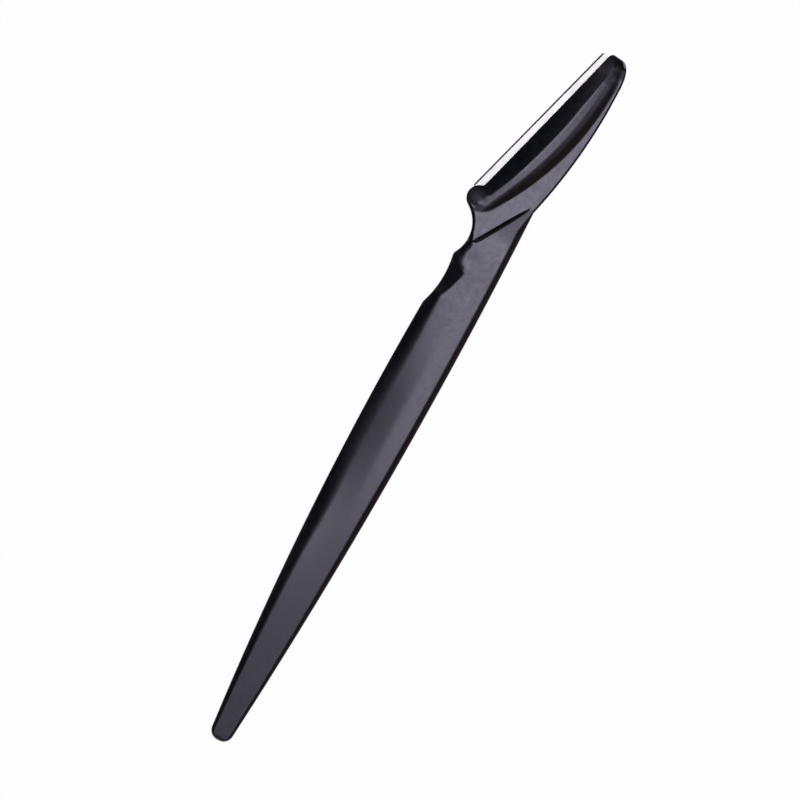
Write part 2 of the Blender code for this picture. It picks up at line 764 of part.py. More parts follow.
def plate(name, outline, half_thickness):
    """A flat plate of an outline, upright sides, on both sides of the middle plane."""
    shape = bmesh.new()
    rim = [shape.verts.new((point.x, point.y, -half_thickness)) for point in outline]
    base = shape.faces.new(rim)
    raised = bmesh.ops.extrude_face_region(shape, geom=[base])
    upper_rim = [item for item in raised["geom"] if isinstance(item, bmesh.types.BMVert)]
    bmesh.ops.translate(shape, verts=upper_rim, vec=(0, 0, half_thickness * 2))
    bmesh.ops.recalc_face_normals(shape, faces=shape.faces)
    mesh = bpy.data.meshes.new(name)
    shape.to_mesh(mesh)
    shape.free()
    return mesh


def soften_rims(mesh, radius):
    """Round the upper and lower rims of a plate."""
    shape = bmesh.new()
    shape.from_mesh(mesh)
    rims = [edge for edge in shape.edges if edge.verts[0].co.z == edge.verts[1].co.z]
    bmesh.ops.bevel(shape, geom=rims, offset=radius, segments=CORNER_STEPS - 1, profile=0.5,
                    affect="EDGES")
    shape.to_mesh(mesh)
    shape.free()


def web_outline():
    """The web's closed outline: neck, line under the holder, nose, spine and root in the grip."""
    neck_start_x = NECK.x - WEB_NECK_START
    neck_start = Vector((neck_start_x, bottom_of(NECK, neck_start_x)))
    neck = shorter_arc(NECK, neck_start, touch(NECK, LOBE), ARC_STEPS)
    under_end = crease_start().x - WEB_UNDERLAP / 2
    under = [head_point(reach, crease_depth(reach) - WEB_UNDERLAP)
             for reach in spread(CREASE_HEEL_REACH, under_end, RIDGE_STEPS) + [under_end]]
    nose = [head_point(*point) for point in nose_outline() if point.y >= crease_start().y]
    spine_end = tip_reach() - NOSE_LENGTH
    spine = [head_point(reach, spine_depth(reach)) for reach in spread(spine_end, 0.0, RIDGE_STEPS)]
    root = [Vector((neck_start.x, neck_start.y - WEB_ROOT))]
    outline = neck + under + nose[:-1] + spine + root
    return offset_outline(outline[::-1], WEB_INSET)


def make_web():
    """The web, thinned towards the tip, as a shaper for the grip."""
    mesh = plate("web_form", web_outline(), WEB_THICKNESS / 2)
    soften_rims(mesh, WEB_EDGE_RADIUS)
    for vertex in mesh.vertices:
        reach = in_head(vertex.co.to_2d()).x
        vertex.co.z *= web_half(reach) * 2 / WEB_THICKNESS
    return mark_as_shaper(link("web_form", mesh))


def blade_outline(clearance):
    """The strip's outline with round corners, in drawing frame, grown by a clearance."""
    heel = BLADE_HEEL_REACH - clearance
    tip = BLADE_HEEL_REACH + BLADE_LENGTH + clearance
    corners = [Vector((heel, -clearance)), Vector((tip, -clearance)),
               Vector((tip, BLADE_DEPTH + clearance)), Vector((heel, BLADE_DEPTH + clearance))]
    outline = []
    for index, corner in enumerate(corners):
        outline += round_corner(corners[index - 1], corner, corners[(index + 1) % 4],
                                BLADE_CORNER_RADIUS + clearance)
    return [head_point(point.x, point.y) for point in outline]


def grind_wedge(name, side):
    """A long wedge that grinds one face of the blade down to its edge; side is 1 or -1."""
    drop = BLADE_THICKNESS / 2 - EDGE_THICKNESS / 2
    profile = [(-OVERRUN, EDGE_THICKNESS / 2 - OVERRUN * drop / GRIND_WIDTH),
               (GRIND_WIDTH + OVERRUN, BLADE_THICKNESS / 2 + OVERRUN * drop / GRIND_WIDTH),
               (-OVERRUN, BLADE_THICKNESS / 2 + OVERRUN * drop / GRIND_WIDTH)]
    sections = []
    for reach in (BLADE_HEEL_REACH - OVERRUN, BLADE_HEEL_REACH + BLADE_LENGTH + OVERRUN):
        places = [head_point(reach, depth) for depth, _ in profile]
        sections.append([Vector((place.x, place.y, side * height))
                         for place, (_, height) in zip(places, profile)])
    return mark_as_shaper(link(name, loft(name, sections)))


def hole_places():
    """Drawing-frame places of the blade's holes."""
    middle = BLADE_HEEL_REACH + BLADE_LENGTH / 2
    return [head_point(middle + HOLE_PITCH * (index - (HOLE_COUNT - 1) / 2), BLADE_DEPTH - HOLE_FROM_BACK)
            for index in range(HOLE_COUNT)]


def round_bars(name, radius, length):
    """Upright round bars, one on each of the blade's hole places, as one shaper."""
    shape = bmesh.new()
    for place in hole_places():
        bar = bmesh.ops.create_cone(shape, cap_ends=True, segments=CYLINDER_SIDES, radius1=radius,
                                    radius2=radius, depth=length)
        bmesh.ops.translate(shape, verts=bar["verts"], vec=(place.x, place.y, 0))
    mesh = bpy.data.meshes.new(name)
    shape.to_mesh(mesh)
    shape.free()
    return mark_as_shaper(link(name, mesh))


def make_handle(material):
    """The moulding: grip, web and holder in one, with the blade's slot and its posts."""
    sections = [grip_section(x) for x in grip_stations()]
    handle = link("handle", loft("handle", sections))
    slot_half = BLADE_THICKNESS / 2 + SLOT_CLEARANCE
    slot = mark_as_shaper(link("blade_slot", plate("blade_slot", blade_outline(SLOT_CLEARANCE), slot_half)))
    posts = round_bars("posts", HOLE_RADIUS - SLOT_CLEARANCE, (slot_half + LIP_WALL) * 2)
    combine(handle, make_web(), "UNION")
    combine(handle, make_holder(), "UNION")
    combine(handle, slot, "DIFFERENCE")
    combine(handle, posts, "UNION")
    return settle(handle, material)


def make_blade(material):
    """The steel strip: round corners, ground edge and holes for the posts."""
    blade = link("blade", plate("blade", blade_outline(0.0), BLADE_THICKNESS / 2))
    combine(blade, grind_wedge("upper_grind", 1), "DIFFERENCE")
    combine(blade, grind_wedge("lower_grind", -1), "DIFFERENCE")
    combine(blade, round_bars("hole_drills", HOLE_RADIUS, BLADE_THICKNESS + OVERRUN), "DIFFERENCE")
    return settle(blade, material)


def main():
    """Build the trimmer, lying on its side with the middle of its underside at the origin."""
    clear_scene()
    pieces = [make_handle(plastic_material()), make_blade(steel_material())]
    highest = max(head_point(point.x, point.y).y for point in holder_outline())
    lowest = min(point.y for point in web_outline())
    frame = bpy.data.objects.new("trimmer_frame", None)
    bpy.context.scene.collection.objects.link(frame)
    for piece in pieces:
        piece.parent = frame
    frame.location = (-OVERALL_LENGTH / 2, -(highest + lowest) / 2, HANDLE_THICKNESS / 2)


main()
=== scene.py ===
"""Looks of a slim eyebrow trimmer: black moulded handle, ground steel blade, pale studio.

Plan sizes are millimetres in the drawing frame: X runs from the tail to the tip, Y points to the
blade's side and Z up from the middle plane. The head has its own directions: reach runs along the
blade's edge from its heel, and depth is square to the edge, towards the spine. ``Placement`` turns
the drawing frame into the row's metres.
"""

import sys

import logging
import math
from dataclasses import dataclass, field
from enum import Enum

import bpy
import numpy as np
from mathutils import Matrix, Vector
from mathutils.bvhtree import BVHTree


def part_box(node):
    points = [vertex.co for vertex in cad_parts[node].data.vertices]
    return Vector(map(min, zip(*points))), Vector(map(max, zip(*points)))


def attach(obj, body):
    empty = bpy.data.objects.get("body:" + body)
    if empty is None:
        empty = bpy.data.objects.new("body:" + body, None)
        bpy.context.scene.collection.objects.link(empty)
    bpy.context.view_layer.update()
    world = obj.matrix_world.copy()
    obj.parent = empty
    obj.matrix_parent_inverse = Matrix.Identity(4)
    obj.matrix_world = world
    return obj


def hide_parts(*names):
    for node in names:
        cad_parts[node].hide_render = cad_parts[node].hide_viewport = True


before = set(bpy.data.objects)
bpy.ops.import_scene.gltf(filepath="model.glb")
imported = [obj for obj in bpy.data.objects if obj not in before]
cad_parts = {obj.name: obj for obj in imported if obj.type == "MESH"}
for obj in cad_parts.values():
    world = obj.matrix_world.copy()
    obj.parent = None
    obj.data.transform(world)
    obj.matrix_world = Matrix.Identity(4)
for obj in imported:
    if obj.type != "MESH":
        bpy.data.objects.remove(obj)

LOG = logging.getLogger("eyebrow_trimmer")
MM = 0.001
ABSENT = -9.0
SHARP_ANGLE = math.radians(50)
WHITE = (1.0, 1.0, 1.0, 1.0)


def ease(value: np.ndarray | float) -> np.ndarray:
    """Rise smoothly from 0 to 1, level at both ends."""
    return (1 - np.cos(np.pi * np.clip(value, 0.0, 1.0))) / 2


def soft_lower(first: np.ndarray, second: np.ndarray, blend: float) -> np.ndarray:
    """Take the lower of two surfaces and round the edge between them.

    Args:
        first: heights of one surface.
        second: heights of the other surface.
        blend: height over which the two flow together.

    Returns:
        The rounded lower heights.
    """
    share = np.clip(0.5 + 0.5 * (second - first) / blend, 0.0, 1.0)
    return second * (1 - share) + first * share - blend * share * (1 - share)


def soft_upper(first: np.ndarray, second: np.ndarray, blend: float) -> np.ndarray:
    """Take the higher of two surfaces and fill the corner between them.

    Args:
        first: heights of one surface.
        second: heights of the other surface.
        blend: height over which the two flow together.

    Returns:
        The filled higher heights.
    """
    return -soft_lower(-first, -second, blend)


@dataclass(frozen=True)
class Circle:
    """A circle of the plan or of the head."""

    x: float
    y: float
    radius: float

    @classmethod
    def below(cls, x: float, top: float, radius: float) -> "Circle":
        """Give the circle whose highest place is at x and top."""
        return cls(x, top - radius, radius)

    def upper(self, x: np.ndarray | float) -> np.ndarray:
        """Height of the upper half at x."""
        return self.y + np.sqrt(np.maximum(self.radius**2 - (np.asarray(x) - self.x) ** 2, 0.0))

    def lower(self, x: np.ndarray | float) -> np.ndarray:
        """Height of the lower half at x."""
        return 2 * self.y - self.upper(x)

    def touch(self, other: "Circle") -> np.ndarray:
        """Give the point where this circle touches another from outside."""
        share = self.radius / (self.radius + other.radius)
        return np.array((self.x + (other.x - self.x) * share, self.y + (other.y - self.y) * share))

    def rolled_back(self, radius: float, height: float) -> "Circle":
        """Give the circle that touches this one from the tail's side.

        Args:
            radius: radius of the new circle.
            height: height of its centre.

        Returns:
            The touching circle.
        """
        apart = self.radius + radius
        return Circle(self.x - math.sqrt(apart**2 - (height - self.y) ** 2), height, radius)

    def arc(self, start: np.ndarray, end: np.ndarray, step: float) -> np.ndarray:
        """Sample the shorter arc between two points of the circle.

        Args:
            start: first point.
            end: last point.
            step: longest distance between neighbouring points.

        Returns:
            Points as rows.
        """
        first = math.atan2(start[1] - self.y, start[0] - self.x)
        turn = math.atan2(end[1] - self.y, end[0] - self.x) - first
        turn = (turn + math.pi) % math.tau - math.pi
        count = max(3, math.ceil(abs(turn) * self.radius / step) + 1)
        angles = np.linspace(first, first + turn, count)
        return np.column_stack((self.x + self.radius * np.cos(angles),
                                self.y + self.radius * np.sin(angles)))


@dataclass
class HeadPlan:
    """The head's curves, given in reach and depth."""

    tilt: float = math.radians(16)
    heel_height: float = 7.9
    blade_length: float = 36.5
    blade_depth: float = 5.0
    blade_heel_reach: float = 0.2
    exposure_heel: float = 1.64
    exposure_tip: float = 1.38
    tip_wall: float = 1.45
    tip_corner: float = 1.05
    tip_lean: float = 0.25
    tip_straight: float = 2.5
    nose_length: float = 5.1
    nose_spine_pull: float = 3.3
    nose_tip_pull: float = 1.7
    spine: Circle = Circle.below(1.55, 12.4, 108.8)
    ridge: Circle = Circle.below(16.5, 6.75, 66.0)
    ridge_start: float = -2.3
    ridge_end_wall: float = 1.5
    crease_from_spine_heel: float = 6.1
    crease_from_spine_tip: float = 0.68
    crease_heel_reach: float = -1.0
    heel_turn: tuple[float, float] = (-2.8, 4.95)
    heel_turn_angle: float = math.radians(47.5)
    lobe: Circle = Circle(-0.76, 2.61, 2.48)
    lobe_fillet: float = 0.8
    sample: float = 0.12
    nose_points: int = 60

    @property
    def front(self) -> float:
        """Reach of the head's foremost place."""
        return self.blade_heel_reach + self.blade_length + self.tip_wall

    def exposure(self, reach: np.ndarray | float) -> np.ndarray:
        """Width of bare blade in front of the lip."""
        share = np.maximum(reach, 0.0) / self.blade_length
        return self.exposure_heel - (self.exposure_heel - self.exposure_tip) * share**2

    def crease(self, reach: np.ndarray | float) -> np.ndarray:
        """Give the crease at the foot of the holder, which nears the spine towards the tip.

        Args:
            reach: reach of the places.

        Returns:
            Depth of the crease there.
        """
        narrowing = (1 - np.asarray(reach) / self.blade_length) ** 2
        width = self.crease_from_spine_heel - self.crease_from_spine_tip
        return self.spine.upper(reach) - self.crease_from_spine_tip - width * narrowing

    def fillet(self) -> Circle:
        """Place the circle that rounds the lobe into the lip.

        Returns:
            The circle, in reach and depth.
        """
        depth = self.exposure_heel - self.lobe_fillet
        apart = self.lobe.radius + self.lobe_fillet
        return Circle(self.lobe.x + math.sqrt(apart**2 - (self.lobe.y - depth) ** 2), depth,
                      self.lobe_fillet)

    def lip(self) -> np.ndarray:
        """Sample the lip from the lobe's fillet to the tip's corner.

        Returns:
            Reach and depth as rows.
        """
        end = self.front - self.tip_lean - self.tip_corner
        reach = np.arange(self.fillet().x, end, self.sample)
        return np.column_stack((reach, self.exposure(reach)))

    def tip(self) -> np.ndarray:
        """Sample the tip's corner and its nearly straight front.

        Returns:
            Reach and depth as rows.
        """
        corner = Circle(self.front - self.tip_lean - self.tip_corner,
                        self.exposure_tip + self.tip_corner, self.tip_corner)
        arc = corner.arc(np.array((corner.x, self.exposure_tip)),
                         np.array((corner.x + corner.radius, corner.y)), self.sample / 2)
        end = np.array((self.front, self.exposure_tip + self.tip_straight))
        count = math.ceil(np.linalg.norm(end - arc[-1]) / self.sample)
        shares = np.linspace(0, 1, count, endpoint=False)[1:, None]
        return np.vstack((arc, arc[-1] + (end - arc[-1]) * shares))

    def nose(self) -> np.ndarray:
        """Sample the nose from the tip's front to the spine's arc.

        Returns:
            Reach and depth as rows.
        """
        front = np.array((self.front, self.exposure_tip + self.tip_straight))
        lean = np.array((self.tip_lean, self.tip_straight))
        lean = lean / np.linalg.norm(lean)
        start = self.front - self.nose_length
        spine = np.array((start, float(self.spine.upper(start))))
        along = np.array((1.0, -(start - self.spine.x) / self.spine.radius))
        along = along / np.linalg.norm(along)
        share = np.linspace(0, 1, self.nose_points)[:, None]
        rest = 1 - share
        return (front * rest**3 + (front + lean * self.nose_tip_pull) * 3 * rest**2 * share
                + (spine + along * self.nose_spine_pull) * 3 * rest * share**2 + spine * share**3)


@dataclass
class HandlePlan:
    """The handle's outline seen from above, as two lines that are functions of X."""

    length: float = 155.0
    tail_radius: float = 2.3
    tail_flat_angle: float = math.radians(10)
    blade_side_width: float = 5.94
    blade_side_widest: float = 0.474
    spine_side_width: float = 5.68
    spine_side_widest: float = 0.575
    scallop_radius: float = 20.4
    scallop_half_width: float = 4.44
    bead_radius: float = 1.4
    bead_half_width: float = 4.83
    neck_radius: float = 7.0
    neck_half_width: float = 3.75
    grip_ends_past_lobe: float = 3.6
    spine_limit: float = -8.62
    tail_points: int = 80
    side_points: int = 1500
    web_points: int = 500
    head: HeadPlan = field(default_factory=HeadPlan)

    def __post_init__(self) -> None:
        """Place the head and the touching circles, and sample both outlines."""
        tip = np.vstack((self.head.tip(), self.head.nose()))
        cos, sin = math.cos(self.head.tilt), math.sin(self.head.tilt)
        self.heel_x = self.length - float(np.max(tip[:, 0] * cos - tip[:, 1] * sin))
        self.blade_arc = self.long_side(self.blade_side_width, self.blade_side_widest)
        self.spine_arc = self.long_side(self.spine_side_width, self.spine_side_widest)
        self.lobe = Circle(*self.to_plan(self.head.lobe.x, self.head.lobe.y),
                           self.head.lobe.radius)
        self.neck = self.lobe.rolled_back(self.neck_radius, self.neck_half_width + self.neck_radius)
        self.bead = self.neck.rolled_back(self.bead_radius, self.bead_half_width - self.bead_radius)
        self.scallop = self.bead.rolled_back(self.scallop_radius,
                                             self.scallop_half_width + self.scallop_radius)
        self.scallop_start = self.first_crossing(self.blade_arc, self.scallop)
        self.grip_end = self.lobe.x + self.grip_ends_past_lobe
        self.blade_line, self.spine_line = self.outlines()

    def long_side(self, widest: float, widest_share: float) -> Circle:
        """Give the circle of one of the grip's long sides.

        Args:
            widest: largest distance from the drawing's X axis.
            widest_share: share of the length at which it is reached.

        Returns:
            The circle, which starts from the round tail.
        """
        at = self.length * widest_share
        rise = widest - self.tail_radius
        radius = ((at - self.tail_radius) ** 2 + rise**2) / (2 * rise)
        return Circle(at, widest - radius, radius)

    @staticmethod
    def first_crossing(first: Circle, second: Circle) -> float:
        """Find where two circles first cross, counted from the tail.

        Args:
            first: circle of a long side.
            second: circle of the scallop.

        Returns:
            X of the crossing.
        """
        apart = np.array((second.x - first.x, second.y - first.y))
        distance = np.linalg.norm(apart)
        along = (first.radius**2 - second.radius**2 + distance**2) / (2 * distance)
        across = math.sqrt(first.radius**2 - along**2)
        direction = apart / distance
        return float(first.x + direction[0] * along - direction[1] * across)

    def to_plan(self, reach: np.ndarray | float, depth: np.ndarray | float) -> tuple:
        """Turn reach and depth into the drawing frame's X and Y.

        Args:
            reach: reach of the places.
            depth: depth of the places.

        Returns:
            X and Y.
        """
        cos, sin = math.cos(self.head.tilt), math.sin(self.head.tilt)
        return (self.heel_x + reach * cos - depth * sin,
                self.head.heel_height - reach * sin - depth * cos)

    def to_head(self, x: np.ndarray | float, y: np.ndarray | float) -> tuple:
        """Turn the drawing frame's X and Y into reach and depth.

        Args:
            x: X of the places.
            y: Y of the places.

        Returns:
            Reach and depth.
        """
        cos, sin = math.cos(self.head.tilt), math.sin(self.head.tilt)
        across, up = x - self.heel_x, y - self.head.heel_height
        return across * cos - up * sin, -across * sin - up * cos

    def head_matrix(self) -> Matrix:
        """Matrix from the head, with X along reach and Y against depth, to the drawing frame."""
        heel = Matrix.Translation((self.heel_x, self.head.heel_height, 0.0))
        return heel @ Matrix.Rotation(-self.head.tilt, 4, "Z")

    def tail_share(self, x: np.ndarray) -> np.ndarray:
        """Give the share of the full width that the round tail has.

        Args:
            x: X of the places.

        Returns:
            The shares, which are 1 past the tail.
        """
        centre = self.tail_radius * math.cos(self.tail_flat_angle)
        inside = np.maximum(self.tail_radius**2 - np.maximum(centre - x, 0.0) ** 2, 0.0)
        return np.sqrt(inside) / self.tail_radius

    def plain_blade_side(self, x: np.ndarray) -> np.ndarray:
        """Give the grip's blade side before the scallop and the neck are taken from it."""
        return self.blade_arc.upper(np.maximum(x, self.tail_radius)) * self.tail_share(x)

    def grip_spine_side(self, x: np.ndarray) -> np.ndarray:
        """Give the grip's spine side as a negative height."""
        return -self.spine_arc.upper(np.maximum(x, self.tail_radius)) * self.tail_share(x)

    def grip_blade_side(self, x: np.ndarray) -> np.ndarray:
        """Give the grip's blade side with its scallop, bead and neck.

        Args:
            x: X of the places.

        Returns:
            Y of the side there.
        """
        line = np.where(x < self.scallop_start, self.plain_blade_side(x), self.scallop.lower(x))
        line = np.where(x > self.scallop.touch(self.bead)[0], self.bead.upper(x), line)
        neck = self.neck.lower(np.minimum(x, self.neck.x))
        return np.where(x > self.bead.touch(self.neck)[0], neck, line)

    def outlines(self) -> tuple[np.ndarray, np.ndarray]:
        """Sample the outline from tail to tip.

        Returns:
            X and Y as rows, on the blade's side and on the spine's side.
        """
        head = self.head
        ends = self.tail_radius * (1 - np.cos(np.linspace(0, math.pi / 2, self.tail_points)))
        lobe_start = self.neck.touch(self.lobe)
        x = np.concatenate((ends, np.linspace(self.tail_radius, self.neck.x, self.side_points)[1:]))
        grip = np.column_stack((x, self.grip_blade_side(x)))
        fillet = Circle(*self.to_plan(head.fillet().x, head.fillet().y), head.lobe_fillet)
        lip = np.column_stack(self.to_plan(*head.lip().T))
        step = head.sample / 4
        blade = np.vstack((grip, self.neck.arc(grip[-1], lobe_start, step)[1:-1],
                           self.lobe.arc(lobe_start, self.lobe.touch(fillet), step)[:-1],
                           fillet.arc(self.lobe.touch(fillet), lip[0], step)[:-1], lip))
        end = np.column_stack(self.to_plan(*np.vstack((head.tip(), head.nose())).T))
        foremost = int(np.argmax(end[:, 0]))
        blade = np.vstack((blade, end[: foremost + 1]))
        reach = np.linspace(0.0, head.front - head.nose_length, self.web_points)
        web = np.column_stack(self.to_plan(reach, head.spine.upper(reach)))
        web = np.vstack((web[:-1], end[foremost:][::-1]))
        x = np.concatenate((ends, np.linspace(self.tail_radius, self.grip_end, self.side_points)[1:]))
        low = np.minimum(self.grip_spine_side(x), np.interp(x, web[:, 0], web[:, 1], left=0.0))
        spine = np.vstack((np.column_stack((x, low)), web[web[:, 0] > self.grip_end]))
        return blade, spine

    def blade_side(self, x: np.ndarray) -> np.ndarray:
        """Give the outline on the blade's side at x."""
        return np.interp(x, self.blade_line[:, 0], self.blade_line[:, 1])

    def spine_side(self, x: np.ndarray) -> np.ndarray:
        """Give the outline on the spine's side at x."""
        return np.interp(x, self.spine_line[:, 0], self.spine_line[:, 1])


@dataclass
class GripForm:
    """Heights of the grip: flat, thumb rest, scoop, dish, shoulder, chamfer and slanted step.

    A table of widths or heights goes with the places of the same name, which are X of the plan.
    The thumb rest runs between two shares of the length. A fall is a slope, as height over width.
    """

    plan: HandlePlan
    half_thickness: float = 2.25
    tail_edge: float = 1.2
    wall_places: tuple = (101.5, 105.8)
    wall_heights: tuple = (0.7, 1.2)
    least_turn: float = 0.1
    spine_wall: float = 1.35
    wall_most_share: float = 0.6
    most_fall: float = 0.66
    shoulder_tail: float = 0.55
    shoulder: float = 2.05
    chamfer_tail: float = 0.4
    chamfer: float = 0.95
    chamfer_end: float = 0.1
    full_width_share: float = 0.335
    thumb_from: float = 0.2
    thumb_to: float = 0.7
    thumb_dip: float = 0.85
    thumb_width: float = 5.2
    thumb_ease: float = 0.03
    rim_places: tuple = (95.0, 103.0, 105.5, 107.5, 108.5, 109.6)
    rim_widths: tuple = (1.4, 1.4, 1.6, 1.15, 1.15, 0.85)
    dish: tuple = (106.2, 1.2)
    dish_spread: tuple = (1.6, 1.3)
    dish_depth: float = 0.09
    scoop_reach: float = 2.0
    scoop_from_scallop: float = 2.4
    scoop_length: float = 5.9
    scoop_runout: float = 1.45
    step_slant: float = math.radians(31.4)
    step_behind_lobe: float = 5.8
    step_offset: float = 0.8
    step_run: float = 0.4
    step_stops_past_lobe: float = 2.6
    step_corner: float = 5.0
    step_corner_back: float = 0.15
    end_slope: float = 9.4
    end_sink: float = 0.1
    end_ease: float = 0.02
    web_half: float = 1.2
    edge_blend: float = 0.14
    chamfer_blend: float = 0.34
    roll_places: tuple = (0.0, 12.0, 40.0, 50.0, 88.0, 95.0, 98.0, 101.0,
                          103.2, 104.0, 105.2, 107.0, 108.5, 110.0)
    roll_widths: tuple = (0.15, 0.33, 0.9, 1.35, 1.2, 0.85, 0.6, 0.25,
                          0.35, 1.6, 1.3, 0.9, 0.9, 0.2)
    least_band: float = 0.05
    spine_margin: float = 0.05

    def top(self, x: np.ndarray) -> np.ndarray:
        """Give half the thickness: full, but for the tail's edge and the slope at the step's end.

        Args:
            x: X of the places.

        Returns:
            Height of the flat there.
        """
        inwards = np.clip(self.tail_edge - x, 0.0, self.tail_edge)
        drop = self.tail_edge - np.sqrt(self.tail_edge**2 - inwards**2)
        low = self.web_half - self.end_sink
        past = (x - self.plan.grip_end + self.end_slope) / self.end_slope
        fall = (past + np.sqrt(past**2 + self.end_ease)) / 2
        return self.half_thickness - drop - (self.half_thickness - low) * fall

    def band(self, x: np.ndarray, at_tail: float, full: float) -> np.ndarray:
        """Width of a sloping band that grows from the tail to its full size."""
        share = np.minimum(x / (self.plan.length * self.full_width_share), 1.0)
        return (at_tail + (full - at_tail) * share) * self.plan.tail_share(x)

    def scoop(self, x: np.ndarray) -> np.ndarray:
        """Give the distance that the scoop eats into the flat.

        Args:
            x: X of the places.

        Returns:
            The distances, which are 0 outside the scoop.
        """
        start = self.plan.scallop_start + self.scoop_from_scallop
        rise = np.clip((x - start) / self.scoop_length, 0.0, 1.0)
        past = np.clip((x - start - self.scoop_length) / self.scoop_runout, 0.0, 1.0)
        return self.scoop_reach * rise * (1 - past)

    def roll(self, x: np.ndarray) -> np.ndarray:
        """Half width over which the flat rolls into the shoulder, widest in the middle of the grip."""
        return np.interp(x, self.roll_places, self.roll_widths)

    def step_line(self, x: np.ndarray) -> np.ndarray:
        """Give the middle of the slanted step, which turns up steeply at the neck's corner.

        Args:
            x: X of the places.

        Returns:
            Y of the step there.
        """
        past = np.minimum(x - self.plan.lobe.x, self.step_stops_past_lobe)
        corner = np.maximum(self.plan.neck.x - self.step_corner_back - x, 0.0) * self.step_corner
        return self.step_offset - (past + self.step_behind_lobe) * math.tan(self.step_slant) + corner

    def step(self, x: np.ndarray, y: np.ndarray) -> np.ndarray:
        """Give the slanted step's face as a slope between the flat and the web."""
        drop = (self.half_thickness - self.web_half) / self.step_run
        return self.half_thickness - (y - self.step_line(x) + self.step_run / 2) * drop

    def flat_edge(self, x: np.ndarray) -> np.ndarray:
        """Give the place where the flat ends on the blade's side.

        Args:
            x: X of the places.

        Returns:
            Y of the flat's edge there.
        """
        edge = self.plan.plain_blade_side(x) - self.band(x, self.shoulder_tail, self.shoulder)
        rim = np.interp(x, self.rim_places, self.rim_widths)
        in_scallop = np.minimum(edge, self.plan.grip_blade_side(x) - rim)
        return np.where(x > self.plan.scallop_start, in_scallop, edge) - self.scoop(x)

    def dip(self, x: np.ndarray) -> np.ndarray:
        """Give the thumb rest's depth at the flat's edge."""
        share = (x / self.plan.length - self.thumb_from) / (self.thumb_to - self.thumb_from)
        return self.thumb_dip * np.sin(math.pi * np.clip(share, 0.0, 1.0)) ** 2

    def flat(self, x: np.ndarray, y: np.ndarray) -> np.ndarray:
        """Give the flat with its thumb rest and the dish beside the bead.

        Args:
            x: X of the points.
            y: Y of the points.

        Returns:
            Heights above the middle plane.
        """
        across = (y - self.flat_edge(x)) / self.thumb_width + 1
        height = self.top(x) - self.dip(x) * (across + np.sqrt(across**2 + self.thumb_ease)) / 2
        along, aside = (x - self.dish[0]) / self.dish_spread[0], (y - self.dish[1]) / self.dish_spread[1]
        return height - self.dish_depth * np.exp(-(along**2 + aside**2))

    def shoulder_slope(self, x: np.ndarray, y: np.ndarray) -> tuple[np.ndarray, np.ndarray]:
        """Give the slope from the flat down to the wall on the blade's side.

        Args:
            x: X of the points.
            y: Y of the points.

        Returns:
            Heights above the middle plane, and the height over which the flat rolls into them.
        """
        top, dip, edge = self.top(x), self.dip(x), self.flat_edge(x)
        wall = np.interp(x, self.wall_places, self.wall_heights)
        wall = np.minimum(wall, top * self.wall_most_share)
        width = np.maximum(self.plan.grip_blade_side(x) - edge, self.least_band)
        fall = np.minimum((top - dip - wall) / width, self.most_fall)
        turn = self.roll(x) * np.maximum(fall - dip / self.thumb_width, self.least_turn)
        return top - dip - (y - edge) * fall, turn

    def chamfer_slope(self, x: np.ndarray, y: np.ndarray) -> tuple[np.ndarray, np.ndarray]:
        """Give the chamfer from the flat down to the wall on the spine's side.

        Args:
            x: X of the points.
            y: Y of the points.

        Returns:
            Heights above the middle plane, and the height over which the flat rolls into them.
        """
        top = self.top(x)
        wall = np.minimum(self.spine_wall, top * self.wall_most_share)
        left = (top - self.web_half) / self.most_fall + self.chamfer_end
        width = np.minimum(self.band(x, self.chamfer_tail, self.chamfer), left)
        width = np.maximum(width, self.least_band)
        fall = np.minimum((top - wall) / width, self.most_fall)
        return top - (width - y + self.plan.grip_spine_side(x)) * fall, self.chamfer_blend * width

    def heights(self, x: np.ndarray, y: np.ndarray) -> np.ndarray:
        """Give the grip's height over plan points, or ABSENT where there is no grip.

        Args:
            x: X of the points.
            y: Y of the points.

        Returns:
            Heights above the middle plane.
        """
        height = soft_lower(self.flat(x, y), *self.shoulder_slope(x, y))
        height = soft_lower(height, *self.chamfer_slope(x, y))
        height = soft_lower(height, self.step(x, y), self.edge_blend)
        inside = y > self.plan.grip_spine_side(x) - self.spine_margin
        return np.where((x < self.plan.grip_end) & inside, height, ABSENT)


